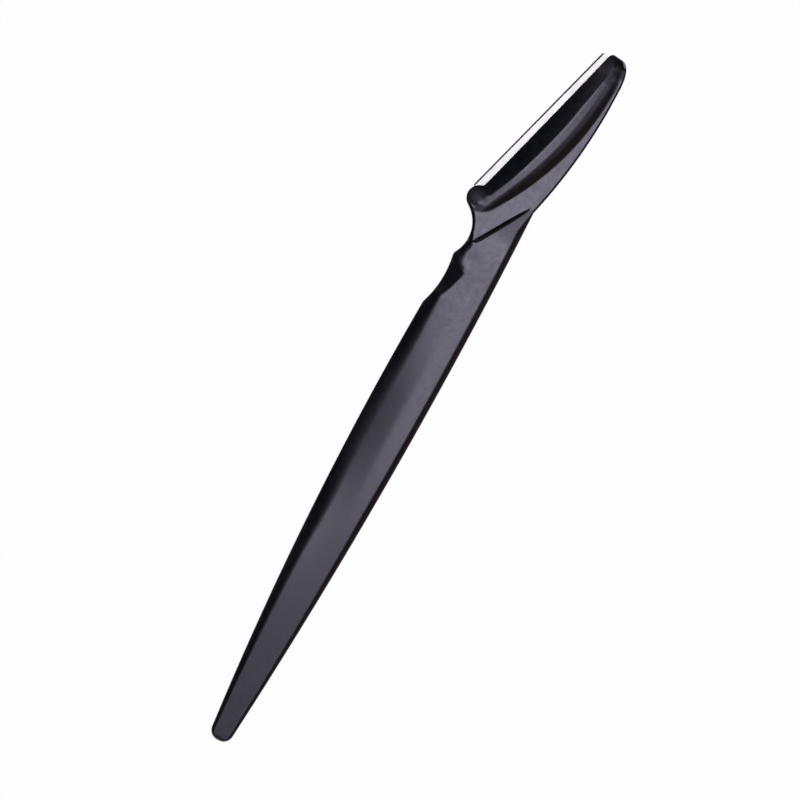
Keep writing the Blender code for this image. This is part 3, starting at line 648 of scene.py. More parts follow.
@dataclass
class HeadForm:
    """Heights of the head: the flat web and the crowned blade holder.

    The crown's tables run along the ridge, from 0 at the heel to 1 at the nose. A flank is the share
    of the way from rim to ridge at which the steep part ends. A crest's rise is the share of the
    climb that comes after it, and where it is below 0 the holder is domed and falls to its ridge.
    """

    plan: HandlePlan
    web_reaches: tuple = (-4.0, 10.0, 35.2, 38.0)
    web_halves: tuple = (1.02, 1.2, 0.74, 0.34)
    web_underlap: float = 1.0
    web_neck_start: float = 2.2
    lip_reaches: tuple = (15.0, 25.0, 32.0, 36.0)
    lip_halves: tuple = (0.55, 0.65, 0.65, 0.55)
    lobe_rim_bend: float = 3.0
    tip_lower: float = 0.3
    tip_lower_from: float = 34.0
    foot_sink: float = 0.05
    ridge_top: float = 2.05
    ridge_tip_drop: float = 0.95
    ridge_tip_bend: float = 1.6
    ridge_nose_drop: float = 0.38
    ridge_nose_share: float = 0.89
    ridge_nose_bend: float = 1.2
    ridge_heel_drop: float = 0.78
    ridge_heel_share: float = 0.35
    ridge_heel_bend: float = 1.8
    ridge_top_share: float = 0.25
    ridge_round_share: float = 0.1
    crown_places: tuple = (0.0, 0.02, 0.026, 0.034, 0.045, 0.063, 0.12, 0.2,
                           0.35, 0.45, 0.65, 0.75, 0.85, 0.9, 1.0)
    lip_flanks: tuple = (0.42, 0.45, 0.49, 0.68, 0.77, 0.7, 0.7, 0.725,
                         0.695, 0.685, 0.695, 0.7, 0.77, 0.82, 0.93)
    spine_flanks: tuple = (0.55, 0.55, 0.55, 0.6, 0.65, 0.75, 0.88, 0.895,
                           0.925, 0.94, 0.95, 0.95, 0.945, 0.94, 0.93)
    lip_crest_rises: tuple = (0.12, 0.12, 0.12, 0.12, 0.12, 0.1, 0.02, -0.06,
                              -0.1, -0.11, -0.16, -0.18, -0.15, -0.08, 0.0)
    spine_crest_rises: tuple = (0.1, 0.1, 0.1, 0.09, 0.08, 0.07, 0.05, 0.05,
                                0.045, 0.038, 0.033, 0.033, 0.035, 0.036, 0.04)
    neck_flank: float = 0.45
    neck_share: float = 0.1
    side_blend: float = 0.25
    lip_bow: float = 0.4
    spine_bow: float = 0.4
    spine_bow_turn: float = 6.0
    crest_turn: float = 0.035
    rings: int = 48
    skirt_share: float = 0.08
    heel_points: int = 30
    crease_points: int = 60
    before_web: float = -50.0
    foot_blend: float = 0.12
    probe_margin: float = 1.5
    probe_height: float = 10.0

    def web_top(self, reach: np.ndarray) -> np.ndarray:
        """Half thickness of the web, which thins towards the tip."""
        return np.interp(reach, self.web_reaches, self.web_halves)

    def neck(self) -> Circle:
        """Give the neck's circle in reach and depth."""
        return Circle(*self.plan.to_head(self.plan.neck.x, self.plan.neck.y), self.plan.neck_radius)

    def foot_end(self) -> np.ndarray:
        """Find the place on the neck's circle where the holder's foot ends.

        Returns:
            Its reach and depth.
        """
        neck, angle = self.plan.neck, self.plan.head.heel_turn_angle
        return np.array(self.plan.to_head(neck.x + neck.radius * math.sin(angle),
                                          neck.y - neck.radius * math.cos(angle)))

    def heel_turn(self) -> np.ndarray:
        """Sample the foot's turn round the heel, from the crease to the neck.

        Returns:
            Reach and depth as rows.
        """
        head = self.plan.head
        share = np.linspace(0, 1, self.heel_points)[:, None]
        first = np.array((head.crease_heel_reach, float(head.crease(head.crease_heel_reach))))
        return (first * (1 - share) ** 2 + np.array(head.heel_turn) * 2 * share * (1 - share)
                + self.foot_end() * share**2)

    def lobe(self) -> np.ndarray:
        """Sample the neck's last stretch, the lobe and the fillet into the lip.

        Returns:
            Reach and depth as rows.
        """
        head, neck, fillet = self.plan.head, self.neck(), self.plan.head.fillet()
        start, end = neck.touch(head.lobe), head.lobe.touch(fillet)
        lip = np.array((fillet.x, fillet.y + fillet.radius))
        step = head.sample / 2
        return np.vstack((neck.arc(self.foot_end(), start, step)[1:-1],
                          head.lobe.arc(start, end, step)[:-1], fillet.arc(end, lip, step)))

    def rim(self) -> np.ndarray:
        """Sample the holder's closed rim: lip, tip, nose, crease, turn and lobe.

        Returns:
            Reach, depth, half height and share of the foot as rows.
        """
        head, nose = self.plan.head, self.plan.head.nose()
        front = nose[nose[:, 1] < head.crease(nose[:, 0])]
        start = nose[len(front)]
        reach = np.arange(start[0], head.crease_heel_reach, -head.sample)
        crease = np.column_stack((reach, head.crease(reach)))
        parts = ((head.lip()[1:], 0, 0, 1), (head.tip(), 0, 0, 1), (front, 0, 1, 1),
                 (crease, 1, 1, 1), (self.heel_turn(), 1, 1, 1),
                 (self.lobe()[:-1], 1, 0, self.lobe_rim_bend))
        rim = np.vstack([np.column_stack((points, np.linspace(low, high, len(points)) ** bend))
                         for points, low, high, bend in parts])
        foot = self.web_top(rim[:, 0]) - self.foot_sink
        lip = np.interp(rim[:, 0], self.lip_reaches, self.lip_halves)
        height = lip + (foot - lip) * rim[:, 2]
        past = (rim[:, 0] - self.tip_lower_from) / (head.front - self.tip_lower_from)
        return np.column_stack((rim[:, :2], height - self.tip_lower * ease(past), rim[:, 2]))

    def ridge_places(self, rim: np.ndarray) -> tuple[np.ndarray, np.ndarray]:
        """Find the place on the ridge that each rim point rises to.

        Args:
            rim: rim points as reach, depth and half height.

        Returns:
            Ridge places as reach, depth and height, and each one's share of the ridge's length.
        """
        head, ridge = self.plan.head, self.plan.head.ridge
        first = math.asin((head.ridge_start - ridge.x) / ridge.radius)
        last = math.asin((head.front - head.ridge_end_wall - ridge.x) / ridge.radius)
        share = (np.arctan2(rim[:, 0] - ridge.x, rim[:, 1] - ridge.y) - first) / (last - first)
        near = self.ridge_round_share
        low = near * np.exp(np.minimum(share - near, 0.0) / near)
        high = 1 - near * np.exp(np.minimum(1 - near - share, 0.0) / near)
        share = np.where(share < near, low, np.where(share > 1 - near, high, share))
        angle = first + (last - first) * share
        towards_tip = np.maximum((share - self.ridge_top_share) / (1 - self.ridge_top_share), 0.0)
        towards_heel = np.maximum(1 - share / self.ridge_heel_share, 0.0)
        towards_nose = np.maximum((share - self.ridge_nose_share) / (1 - self.ridge_nose_share), 0.0)
        height = (self.ridge_top - self.ridge_tip_drop * towards_tip**self.ridge_tip_bend
                  - self.ridge_nose_drop * towards_nose**self.ridge_nose_bend
                  - self.ridge_heel_drop * towards_heel**self.ridge_heel_bend)
        places = np.column_stack((ridge.x + ridge.radius * np.sin(angle),
                                  ridge.y + ridge.radius * np.cos(angle), height))
        return places, share

    def profiles(self, rim: np.ndarray, ridge: np.ndarray, share: np.ndarray) -> np.ndarray:
        """Give the rise from the rim to the ridge: a bowed flank, then a gently sloping crest.

        Args:
            rim: rim points as reach, depth, half height and share of the foot.
            ridge: the ridge place of each rim point.
            share: each rim point's share of the ridge's length.

        Returns:
            Share of the rise for every rim point and ring.
        """
        on_lip = ease(0.5 + (ridge[:, 1] - rim[:, 1]) / (2 * self.side_blend))
        lip = np.interp(share, self.crown_places, self.lip_flanks)
        lip = lip + np.where(share < self.neck_share, self.neck_flank * rim[:, 3], 0.0)
        spine = np.interp(share, self.crown_places, self.spine_flanks)
        flank = (on_lip * lip + (1 - on_lip) * spine)[:, None]
        lip = np.interp(share, self.crown_places, self.lip_crest_rises)
        spine = np.interp(share, self.crown_places, self.spine_crest_rises)
        crest = (on_lip * lip + (1 - on_lip) * spine)[:, None]
        on_lip = on_lip[:, None]
        part = np.linspace(0, 1, self.rings)
        below = 0.5 - part / flank
        bow = (on_lip * self.lip_bow * below
               + (1 - on_lip) * self.spine_bow * np.tanh(self.spine_bow_turn * below))
        turn = 1 / (1 + np.exp((part - flank) / (self.crest_turn / 4)))
        climb = (1 - crest) / flank * (1 + bow)
        slope = turn * climb + (1 - turn) * crest / (1 - flank)
        rise = np.concatenate((np.zeros((len(share), 1)),
                               np.cumsum((slope[:, 1:] + slope[:, :-1]) / 2, axis=1)), axis=1)
        return rise / rise[:, -1:]

    def holder_surface(self) -> BVHTree:
        """Build the crowned holder as a fine surface.

        Returns:
            The surface, which can be probed from above.
        """
        rim = self.rim()
        ridge, share = self.ridge_places(rim)
        profiles = self.profiles(rim, ridge, share)
        inwards = np.concatenate(([-self.skirt_share], np.linspace(0, 1, self.rings)))
        points = []
        for part in inwards:
            plan = rim[:, :2] + (ridge[:, :2] - rim[:, :2]) * part
            profile = profiles[:, np.searchsorted(inwards, part) - 1] if part > 0 else part
            x, y = self.plan.to_plan(plan[:, 0], plan[:, 1])
            points.append(np.column_stack((x, y, rim[:, 2] + (ridge[:, 2] - rim[:, 2]) * profile)))
        count = len(rim)
        faces = [(ring * count + index, ring * count + (index + 1) % count,
                  (ring + 1) * count + (index + 1) % count, (ring + 1) * count + index)
                 for ring in range(len(inwards) - 1) for index in range(count)]
        return BVHTree.FromPolygons(np.vstack(points).tolist(), faces)

    def web_start(self, reach: np.ndarray) -> np.ndarray:
        """Give the least depth of the web, which ends under the holder.

        Args:
            reach: reach of the places.

        Returns:
            The depths.
        """
        head = self.plan.head
        nose = head.nose()
        meet = nose[nose[:, 1] >= head.crease(nose[:, 0])][0]
        join = self.plan.to_head(*self.plan.neck.touch(self.plan.lobe))
        line = np.linspace(head.crease_heel_reach, meet[0] - self.web_underlap / 2, self.crease_points)
        return np.interp(reach, np.concatenate(([join[0]], line, [meet[0]])),
                         np.concatenate(([join[1]], head.crease(line) - self.web_underlap, [meet[1]])),
                         left=self.before_web)

    def heights(self, x: np.ndarray, y: np.ndarray) -> np.ndarray:
        """Give the head's height over plan points, or ABSENT where there is no head.

        Args:
            x: X of the points.
            y: Y of the points.

        Returns:
            Heights above the middle plane.
        """
        reach, depth = self.plan.to_head(x, y)
        start = self.plan.neck.x - self.web_neck_start
        web = np.where((x > start) & (depth > self.web_start(reach)), self.web_top(reach), ABSENT)
        surface = self.holder_surface()
        down = Vector((0, 0, -1))
        holder = np.full(x.shape, ABSENT)
        low = self.plan.lobe.x - self.plan.lobe.radius - self.probe_margin
        for place in np.argwhere(x > low):
            key = tuple(place)
            hit = surface.ray_cast(Vector((x[key], y[key], self.probe_height)), down)[0]
            if hit is not None:
                holder[key] = hit.z
        return soft_upper(web, holder, self.foot_blend)


@dataclass
class Placement:
    """Turns the drawing frame's millimetres into the row's metres."""

    plan: HandlePlan

    def __post_init__(self) -> None:
        """Read the moulding's box, which the drawing is set into."""
        low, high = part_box("handle")
        top = self.plan.lobe.y + self.plan.lobe.radius
        self.shift = Vector((low.x, high.y - top * MM, (low.z + high.z) / 2))

    def matrix(self) -> Matrix:
        """Matrix from the drawing frame to the row's frame."""
        return Matrix.Translation(self.shift) @ Matrix.Scale(MM, 4)

    def head_matrix(self) -> Matrix:
        """Matrix from the head, with X along reach and Y against depth, to the row's frame."""
        return self.matrix() @ self.plan.head_matrix()


class NodeMaker:
    """Adds nodes to a tree and links them in one call."""

    def __init__(self, tree: bpy.types.NodeTree) -> None:
        """Keep the tree."""
        self.tree = tree

    def add(self, kind: str, settings: dict | None = None, inputs: dict | None = None) -> bpy.types.Node:
        """Add a node.

        Args:
            kind: the node's type.
            settings: properties of the node.
            inputs: values or output sockets, keyed by the input's name or number.

        Returns:
            The new node.
        """
        node = self.tree.nodes.new(kind)
        for name, value in (settings or {}).items():
            setattr(node, name, value)
        for name, value in (inputs or {}).items():
            for item in value if isinstance(value, list) else [value]:
                if isinstance(item, bpy.types.NodeSocket):
                    self.tree.links.new(item, node.inputs[name])
                else:
                    node.inputs[name].default_value = item
        return node

    def math(self, operation: str, first: object, second: object = 0.0) -> bpy.types.NodeSocket:
        """Add a math node and give its result."""
        return self.add("ShaderNodeMath", {"operation": operation}, {0: first, 1: second}).outputs[0]

    def point(self, parts: dict) -> bpy.types.NodeSocket:
        """Combine X, Y and Z, keyed 0 to 2, into a vector."""
        return self.add("ShaderNodeCombineXYZ", None, parts).outputs[0]

    def noise(self, vector: bpy.types.NodeSocket, scale: float, detail: float = 2.0) -> bpy.types.NodeSocket:
        """Add a noise texture and give its factor."""
        return self.add("ShaderNodeTexNoise", None,
                        {"Vector": vector, "Scale": scale, "Detail": detail}).outputs[0]

    def spread(self, value: bpy.types.NodeSocket, low: float, high: float,
               into: tuple[float, float]) -> bpy.types.NodeSocket:
        """Map a range of values onto another.

        Args:
            value: the values.
            low: value that gives the first end.
            high: value that gives the second end.
            into: the two ends.

        Returns:
            The mapped values.
        """
        return self.add("ShaderNodeMapRange", None,
                        {"Value": value, "From Min": low, "From Max": high,
                         "To Min": into[0], "To Max": into[1]}).outputs[0]

    def blend(self, factor: bpy.types.NodeSocket, first: object, second: object) -> bpy.types.NodeSocket:
        """Mix two colours."""
        return self.add("ShaderNodeMix", {"data_type": "RGBA"}, {0: factor, 6: first, 7: second}).outputs[2]

    def dress(self, shader: bpy.types.Node, colour: bpy.types.NodeSocket,
              roughness: bpy.types.NodeSocket, relief: bpy.types.NodeSocket, height: float) -> None:
        """Connect a shader's colour, roughness and relief.

        Args:
            shader: the Principled shader.
            colour: its base colour.
            roughness: its roughness.
            relief: the surface's small ups and downs, as a share of their height.
            height: height of the relief.
        """
        bump = self.add("ShaderNodeBump", None,
                        {"Strength": 1.0, "Distance": height, "Height": relief}).outputs[0]
        for name, value in (("Base Color", colour), ("Roughness", roughness), ("Normal", bump)):
            self.tree.links.new(value, shader.inputs[name])


def fresh_material(name: str) -> tuple[bpy.types.Material, NodeMaker, bpy.types.Node]:
    """Start a node material.

    Args:
        name: the material's name.

    Returns:
        The material, a node maker for its tree and its Principled shader.
    """
    material = bpy.data.materials.new(name)
    material.use_nodes = True
    maker = NodeMaker(material.node_tree)
    return material, maker, material.node_tree.nodes["Principled BSDF"]


@dataclass(frozen=True)
class SatinPlastic:
    """Black moulded plastic with a fine spark-eroded grain and a parting line, sized in metres."""

    deep: tuple = (0.0010, 0.0010, 0.0012, 1.0)
    rubbed: tuple = (0.0022, 0.0021, 0.0025, 1.0)
    tint: tuple = (0.82, 0.78, 1.0, 1.0)
    refraction: float = 1.5
    grain_scale: float = 5200.0
    grain_detail: float = 3.0
    grain_range: tuple[float, float] = (0.2, 0.8)
    grain_height: float = 0.0000035
    mottle_scale: float = 900.0
    mottle_detail: float = 4.0
    mottle_range: tuple[float, float] = (0.3, 0.7)
    rubbed_range: tuple[float, float] = (0.45, 0.7)
    roughness: tuple[float, float] = (0.29, 0.35)
    handled_scale: float = 60.0
    handled_roughness: tuple[float, float] = (-0.02, 0.02)
    parting_height: float = 0.00225
    parting_half_width: float = 0.000035
    parting_rise: float = 1.5

    def material(self) -> bpy.types.Material:
        """Build the finish.

        Returns:
            The material.
        """
        material, make, shader = fresh_material("satin_black_plastic")
        place = make.add("ShaderNodeTexCoord").outputs["Object"]
        mottle = make.noise(place, self.mottle_scale, self.mottle_detail)
        grain = make.noise(place, self.grain_scale, self.grain_detail)
        handled = make.noise(place, self.handled_scale)
        shader.inputs["Specular Tint"].default_value = self.tint
        shader.inputs["IOR"].default_value = self.refraction
        colour = make.blend(make.spread(mottle, *self.rubbed_range, (0.0, 1.0)), self.deep, self.rubbed)
        rough = make.math("ADD", make.spread(mottle, *self.mottle_range, self.roughness),
                          make.spread(handled, *self.mottle_range, self.handled_roughness))
        height = make.add("ShaderNodeSeparateXYZ", None, {0: place}).outputs[2]
        off = make.math("ABSOLUTE", make.math("SUBTRACT", height, self.parting_height))
        parting = make.spread(off, 0.0, self.parting_half_width, (self.parting_rise, 0.0))
        relief = make.math("ADD", make.spread(grain, *self.grain_range, (0.0, 1.0)), parting)
        make.dress(shader, colour, rough, relief, self.grain_height)
        return material


@dataclass(frozen=True)
class GroundSteel:
    """Bright steel strip with fine grinding lines along its length.

    The lines and the honed width are in the head's millimetres, and the rest is in metres.
    """

    light: tuple = (0.81, 0.78, 0.805, 1.0)
    dark: tuple = (0.71, 0.69, 0.71, 1.0)
    roughness: tuple[float, float] = (0.56, 0.66)
    lines: tuple[float, float, float] = (0.09, 9.0, 9.0)
    line_detail: float = 5.0
    line_range: tuple[float, float] = (0.3, 0.7)
    line_height: float = 0.0000012
    light_range: tuple[float, float] = (0.35, 0.65)
    cloud_scale: float = 220.0
    cloud_detail: float = 3.0
    cloud_roughness: tuple[float, float] = (-0.03, 0.03)
    honed_roughness: float = 0.22
    honed_width: float = 0.36
    honed_blur_share: float = 0.03

    def material(self, heel: Matrix) -> bpy.types.Material:
        """Build the finish.

        Args:
            heel: matrix from the head's millimetres to the row's frame.

        Returns:
            The material.
        """
        material, make, shader = fresh_material("ground_steel_strip")
        place = make.add("ShaderNodeTexCoord").outputs["Object"]
        head = make.add("ShaderNodeMapping", {"vector_type": "TEXTURE"},
                        {"Vector": place, "Location": heel.to_translation(),
                         "Rotation": heel.to_euler(), "Scale": heel.to_scale()}).outputs[0]
        along = make.add("ShaderNodeMapping", None, {"Vector": head, "Scale": self.lines})
        scratch = make.noise(along.outputs[0], 1.0, self.line_detail)
        cloud = make.noise(place, self.cloud_scale, self.cloud_detail)
        shader.inputs["Metallic"].default_value = 1.0
        colour = make.blend(make.spread(scratch, *self.light_range, (0.0, 1.0)), self.dark, self.light)
        rough = make.math("ADD", make.spread(scratch, *self.line_range, self.roughness),
                          make.spread(cloud, *self.line_range, self.cloud_roughness))
        across = make.add("ShaderNodeSeparateXYZ", None, {0: head}).outputs[1]
        honed = make.spread(across, -self.honed_width * (1 + self.honed_blur_share),
                            -self.honed_width * (1 - self.honed_blur_share),
                            (0.0, self.honed_roughness - sum(self.roughness) / 2))
        make.dress(shader, colour, make.math("ADD", rough, honed), scratch, self.line_height)
        return material


@dataclass(frozen=True)
class PaleSweep:
    """White paper sweep that stays white to the camera and keeps the object's shadow."""

    paper: tuple = (0.92, 0.92, 0.93, 1.0)
    fibre: tuple = (0.95, 0.95, 0.95, 1.0)
    fibre_scale: float = 700.0
    fibre_detail: float = 4.0
    fibre_range: tuple[float, float] = (0.3, 0.7)
    white_share: float = 0.95

    def material(self) -> bpy.types.Material:
        """Build the finish.

        Returns:
            The material.
        """
        material, make, shader = fresh_material("pale_paper")
        make.tree.nodes.remove(shader)
        place = make.add("ShaderNodeTexCoord").outputs["Object"]
        fibres = make.noise(place, self.fibre_scale, self.fibre_detail)
        colour = make.blend(make.spread(fibres, *self.fibre_range, (0.0, 1.0)), self.paper, self.fibre)
        paper = make.add("ShaderNodeBsdfDiffuse", None, {"Color": colour})
        glow = make.add("ShaderNodeEmission", None, {"Color": WHITE, "Strength": 1.0})
        path = make.add("ShaderNodeLightPath")
        seen = make.math("MAXIMUM", path.outputs["Is Camera Ray"], path.outputs["Is Glossy Ray"])
        seen = make.math("MAXIMUM", seen, path.outputs["Is Transmission Ray"])
        share = make.math("MULTIPLY", seen, self.white_share)
        mixed = make.add("ShaderNodeMixShader", None,
                         {0: share, 1: paper.outputs[0], 2: glow.outputs[0]})
        output = next(node for node in make.tree.nodes if node.type == "OUTPUT_MATERIAL")
        make.tree.links.new(mixed.outputs[0], output.inputs["Surface"])
        return material


class Shading(Enum):
    """How a piece's faces catch the light."""

    SMOOTH = "smooth"
    CRISP = "crisp"


def finished(mesh: bpy.types.Mesh, name: str, material: bpy.types.Material,
             shading: Shading) -> bpy.types.Object:
    """Put a finished mesh into the scene.

    Args:
        mesh: the mesh, in the row's metres.
        name: the piece's name.
        material: its finish.
        shading: whether its faces are shaded smooth.

    Returns:
        The piece, at the origin.
    """
    mesh.name = name
    mesh.materials.clear()
    mesh.materials.append(material)
    if shading is Shading.SMOOTH:
        mesh.shade_smooth()
        mesh.set_sharp_from_angle(angle=SHARP_ANGLE)
    else:
        mesh.shade_flat()
    piece = bpy.data.objects.new(name, mesh)
    bpy.context.scene.collection.objects.link(piece)
    return piece


def settled(obj: bpy.types.Object) -> bpy.types.Mesh:
    """Turn an object with its modifiers into a plain mesh and remove the object.

    Args:
        obj: the object.

    Returns:
        The mesh, in the object's own space.
    """
    graph = bpy.context.evaluated_depsgraph_get()
    mesh = bpy.data.meshes.new_from_object(obj.evaluated_get(graph))
    bpy.data.objects.remove(obj, do_unlink=True)
    return mesh


@dataclass
class SteelStrip:
    """The blade: a strip with round corners, a honed edge and a row of holes."""

    plan: HandlePlan
    thickness: float = 0.3
    edge_thickness: float = 0.02
    grind_width: float = 0.36
    corner: float = 0.45
    hole_count: int = 3
    hole_pitch: float = 12.0
    hole_radius: float = 0.8
    hole_from_back: float = 1.6
    corner_points: int = 8
    hole_points: int = 40
    merge_distance: float = 0.0001
    overrun: float = 2.0

    def declare(self, face: bpy.types.NodeTreeInterface) -> None:
        """Name the tree's inputs, with the steel's own sizes, and its output.

        Args:
            face: the tree's interface.
        """
        sizes = {"Length": self.plan.head.blade_length, "Depth": self.plan.head.blade_depth,
                 "Thickness": self.thickness, "Edge Thickness": self.edge_thickness,
                 "Grind Width": self.grind_width, "Corner Radius": self.corner,
                 "Hole Pitch": self.hole_pitch, "Hole Radius": self.hole_radius,
                 "Hole From Back": self.hole_from_back}
        face.new_socket("Geometry", in_out="OUTPUT", socket_type="NodeSocketGeometry")
        for name, value in sizes.items():
            face.new_socket(name, in_out="INPUT", socket_type="NodeSocketFloat").default_value = value
        count = face.new_socket("Hole Count", in_out="INPUT", socket_type="NodeSocketInt")
        count.default_value = self.hole_count
        face.new_socket("Material", in_out="INPUT", socket_type="NodeSocketMaterial")

    def plate(self, make: NodeMaker, given: bpy.types.NodeOutputs,
              middle: bpy.types.NodeSocket, half: bpy.types.NodeSocket) -> bpy.types.NodeSocket:
        """Add the nodes that make the plain strip with its round corners.

        Args:
            make: adds nodes to the tree.
            given: the tree's inputs.
            middle: half of the strip's length.
            half: half of the strip's thickness.

        Returns:
            The strip, closed and with its edge along X.
        """
        rectangle = make.add("GeometryNodeCurvePrimitiveQuadrilateral", None,
                             {"Width": given["Length"], "Height": given["Depth"]})
        rounded = make.add("GeometryNodeFilletCurve", None,
                           {"Curve": rectangle.outputs[0], "Radius": given["Corner Radius"]})
        self.choose(rounded, "POLY")
        rounded.inputs["Count"].default_value = self.corner_points
        sheet = make.add("GeometryNodeFillCurve", None, {"Curve": rounded.outputs[0]})
        self.choose(sheet, "NGONS")
        raised = make.add("GeometryNodeExtrudeMesh", None,
                          {"Mesh": sheet.outputs[0], "Offset Scale": given["Thickness"],
                           "Individual": False})
        base = make.add("GeometryNodeFlipFaces", None, {"Mesh": sheet.outputs[0]})
        joined = make.add("GeometryNodeJoinGeometry", None,
                          {0: [raised.outputs[0], base.outputs[0]]})
        closed = make.add("GeometryNodeMergeByDistance", None,
                          {"Geometry": joined.outputs[0], "Distance": self.merge_distance})
        centre = make.math("MULTIPLY", given["Depth"], -0.5)
        place = make.point({0: middle, 1: centre, 2: make.math("MULTIPLY", half, -1.0)})
        return make.add("GeometryNodeTransform", None,
                        {"Geometry": closed.outputs[0], "Translation": place}).outputs[0]

    def wedges(self, make: NodeMaker, given: bpy.types.NodeOutputs,
               middle: bpy.types.NodeSocket, half: bpy.types.NodeSocket) -> list[bpy.types.NodeSocket]:
        """Add the nodes that make the blocks which grind the edge from above and below.

        Args:
            make: adds nodes to the tree.
            given: the tree's inputs.
            middle: half of the strip's length.
            half: half of the strip's thickness.

        Returns:
            The two blocks.
        """
        fall = make.math("SUBTRACT", half, make.math("MULTIPLY", given["Edge Thickness"], 0.5))
        slope = make.math("ARCTANGENT", make.math("DIVIDE", fall, given["Grind Width"]))
        start = make.math("MULTIPLY", given["Grind Width"], -1.0)
        across = 2 * self.overrun
        size = make.point({0: make.math("ADD", given["Length"], across), 1: across, 2: across})
        block = make.add("GeometryNodeMeshCube", None, {"Size": size})
        blocks = []
        for side in (1.0, -1.0):
            corner = make.add("GeometryNodeTransform", None,
                              {"Geometry": block.outputs[0],
                               "Translation": (0.0, self.overrun, self.overrun * side)})
            spot = make.point({0: middle, 1: start, 2: make.math("MULTIPLY", half, side)})
            turn = make.point({0: make.math("MULTIPLY", slope, -side)})
            blocks.append(make.add("GeometryNodeTransform", None,
                                   {"Geometry": corner.outputs[0], "Translation": spot,
                                    "Rotation": turn}).outputs[0])
        return blocks

    def drills(self, make: NodeMaker, given: bpy.types.NodeOutputs,
               middle: bpy.types.NodeSocket) -> bpy.types.NodeSocket:
        """Add the nodes that make the row of drills.

        Args:
            make: adds nodes to the tree.
            given: the tree's inputs.
            middle: half of the strip's length.

        Returns:
            The drills.
        """
        gaps = make.math("SUBTRACT", given["Hole Count"], 1.0)
        row = make.math("MULTIPLY", make.math("MULTIPLY", gaps, given["Hole Pitch"]), 0.5)
        first = make.point({0: make.math("SUBTRACT", middle, row),
                            1: make.math("SUBTRACT", given["Hole From Back"], given["Depth"])})
        places = make.add("GeometryNodeMeshLine", {"mode": "OFFSET"},
                          {"Count": given["Hole Count"], "Start Location": first,
                           "Offset": make.point({0: given["Hole Pitch"]})})
        drill = make.add("GeometryNodeMeshCylinder", None,
                         {"Vertices": self.hole_points, "Radius": given["Hole Radius"],
                          "Depth": make.math("ADD", given["Thickness"], self.overrun)})
        row = make.add("GeometryNodeInstanceOnPoints", None,
                       {"Points": places.outputs[0], "Instance": drill.outputs[0]})
        return make.add("GeometryNodeRealizeInstances", None, {"Geometry": row.outputs[0]}).outputs[0]

    def tree(self) -> bpy.types.NodeTree:
        """Build the node tree that makes a strip from its sizes.

        Returns:
            The tree.
        """
        tree = bpy.data.node_groups.new("steel_strip", "GeometryNodeTree")
        self.declare(tree.interface)
        make = NodeMaker(tree)
        given = make.add("NodeGroupInput").outputs
        half = make.math("MULTIPLY", given["Thickness"], 0.5)
        middle = make.math("MULTIPLY", given["Length"], 0.5)
        plate = self.plate(make, given, middle, half)
        cutters = [*self.wedges(make, given, middle, half), self.drills(make, given, middle)]
        cut = make.add("GeometryNodeMeshBoolean", {"operation": "DIFFERENCE", "solver": "EXACT"},
                       {0: plate, 1: cutters})
        real = make.add("GeometryNodeRealizeInstances", None, {"Geometry": cut.outputs[0]})
        dressed = make.add("GeometryNodeSetMaterial", None,
                           {"Geometry": real.outputs[0], "Material": given["Material"]})
        make.add("NodeGroupOutput", None, {0: dressed.outputs[0]})
        return tree

    @staticmethod
    def choose(node: bpy.types.Node, option: str) -> None:
        """Pick a node's mode, which is a property or a menu input.

        Args:
            node: the node.
            option: the mode's name.
        """
        if hasattr(node, "mode"):
            node.mode = option
        else:
            node.inputs["Mode"].default_value = option.title()

    def mesh(self, clearance: float, material: bpy.types.Material) -> bpy.types.Mesh:
        """Make a strip, in millimetres, with X along reach and Y against depth.

        Args:
            clearance: how much larger than the steel the strip is all round.
            material: finish that the tree sets.

        Returns:
            The strip's mesh.
        """
        holder = bpy.data.objects.new("strip", bpy.data.meshes.new("strip"))
        bpy.context.scene.collection.objects.link(holder)
        modifier = holder.modifiers.new("strip", "NODES")
        modifier.node_group = self.tree()
        values = {"Length": self.plan.head.blade_length + 2 * clearance,
                  "Depth": self.plan.head.blade_depth + 2 * clearance,
                  "Thickness": self.thickness + 2 * clearance,
                  "Corner Radius": self.corner + clearance,
                  "Hole Radius": self.hole_radius - clearance,
                  "Hole From Back": self.hole_from_back + clearance,
                  "Material": material}
        for item in modifier.node_group.interface.items_tree:
            if item.in_out == "INPUT" and item.name in values:
                modifier[item.identifier] = values[item.name]
        mesh = settled(holder)
        mesh.transform(Matrix.Translation((self.plan.head.blade_heel_reach - clearance,
                                           clearance, 0.0)))
        return mesh

    def build(self, placement: Placement, material: bpy.types.Material) -> bpy.types.Object:
        """Make the blade and seat it in the frame.

        Args:
            placement: turns millimetres into the row's frame.
            material: the steel's finish.

        Returns:
            The blade.
        """
        mesh = self.mesh(0.0, material)
        mesh.transform(placement.head_matrix())
        piece = finished(mesh, "blade_strip", material, Shading.CRISP)
        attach(piece, "root")
        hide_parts("blade")
        return piece


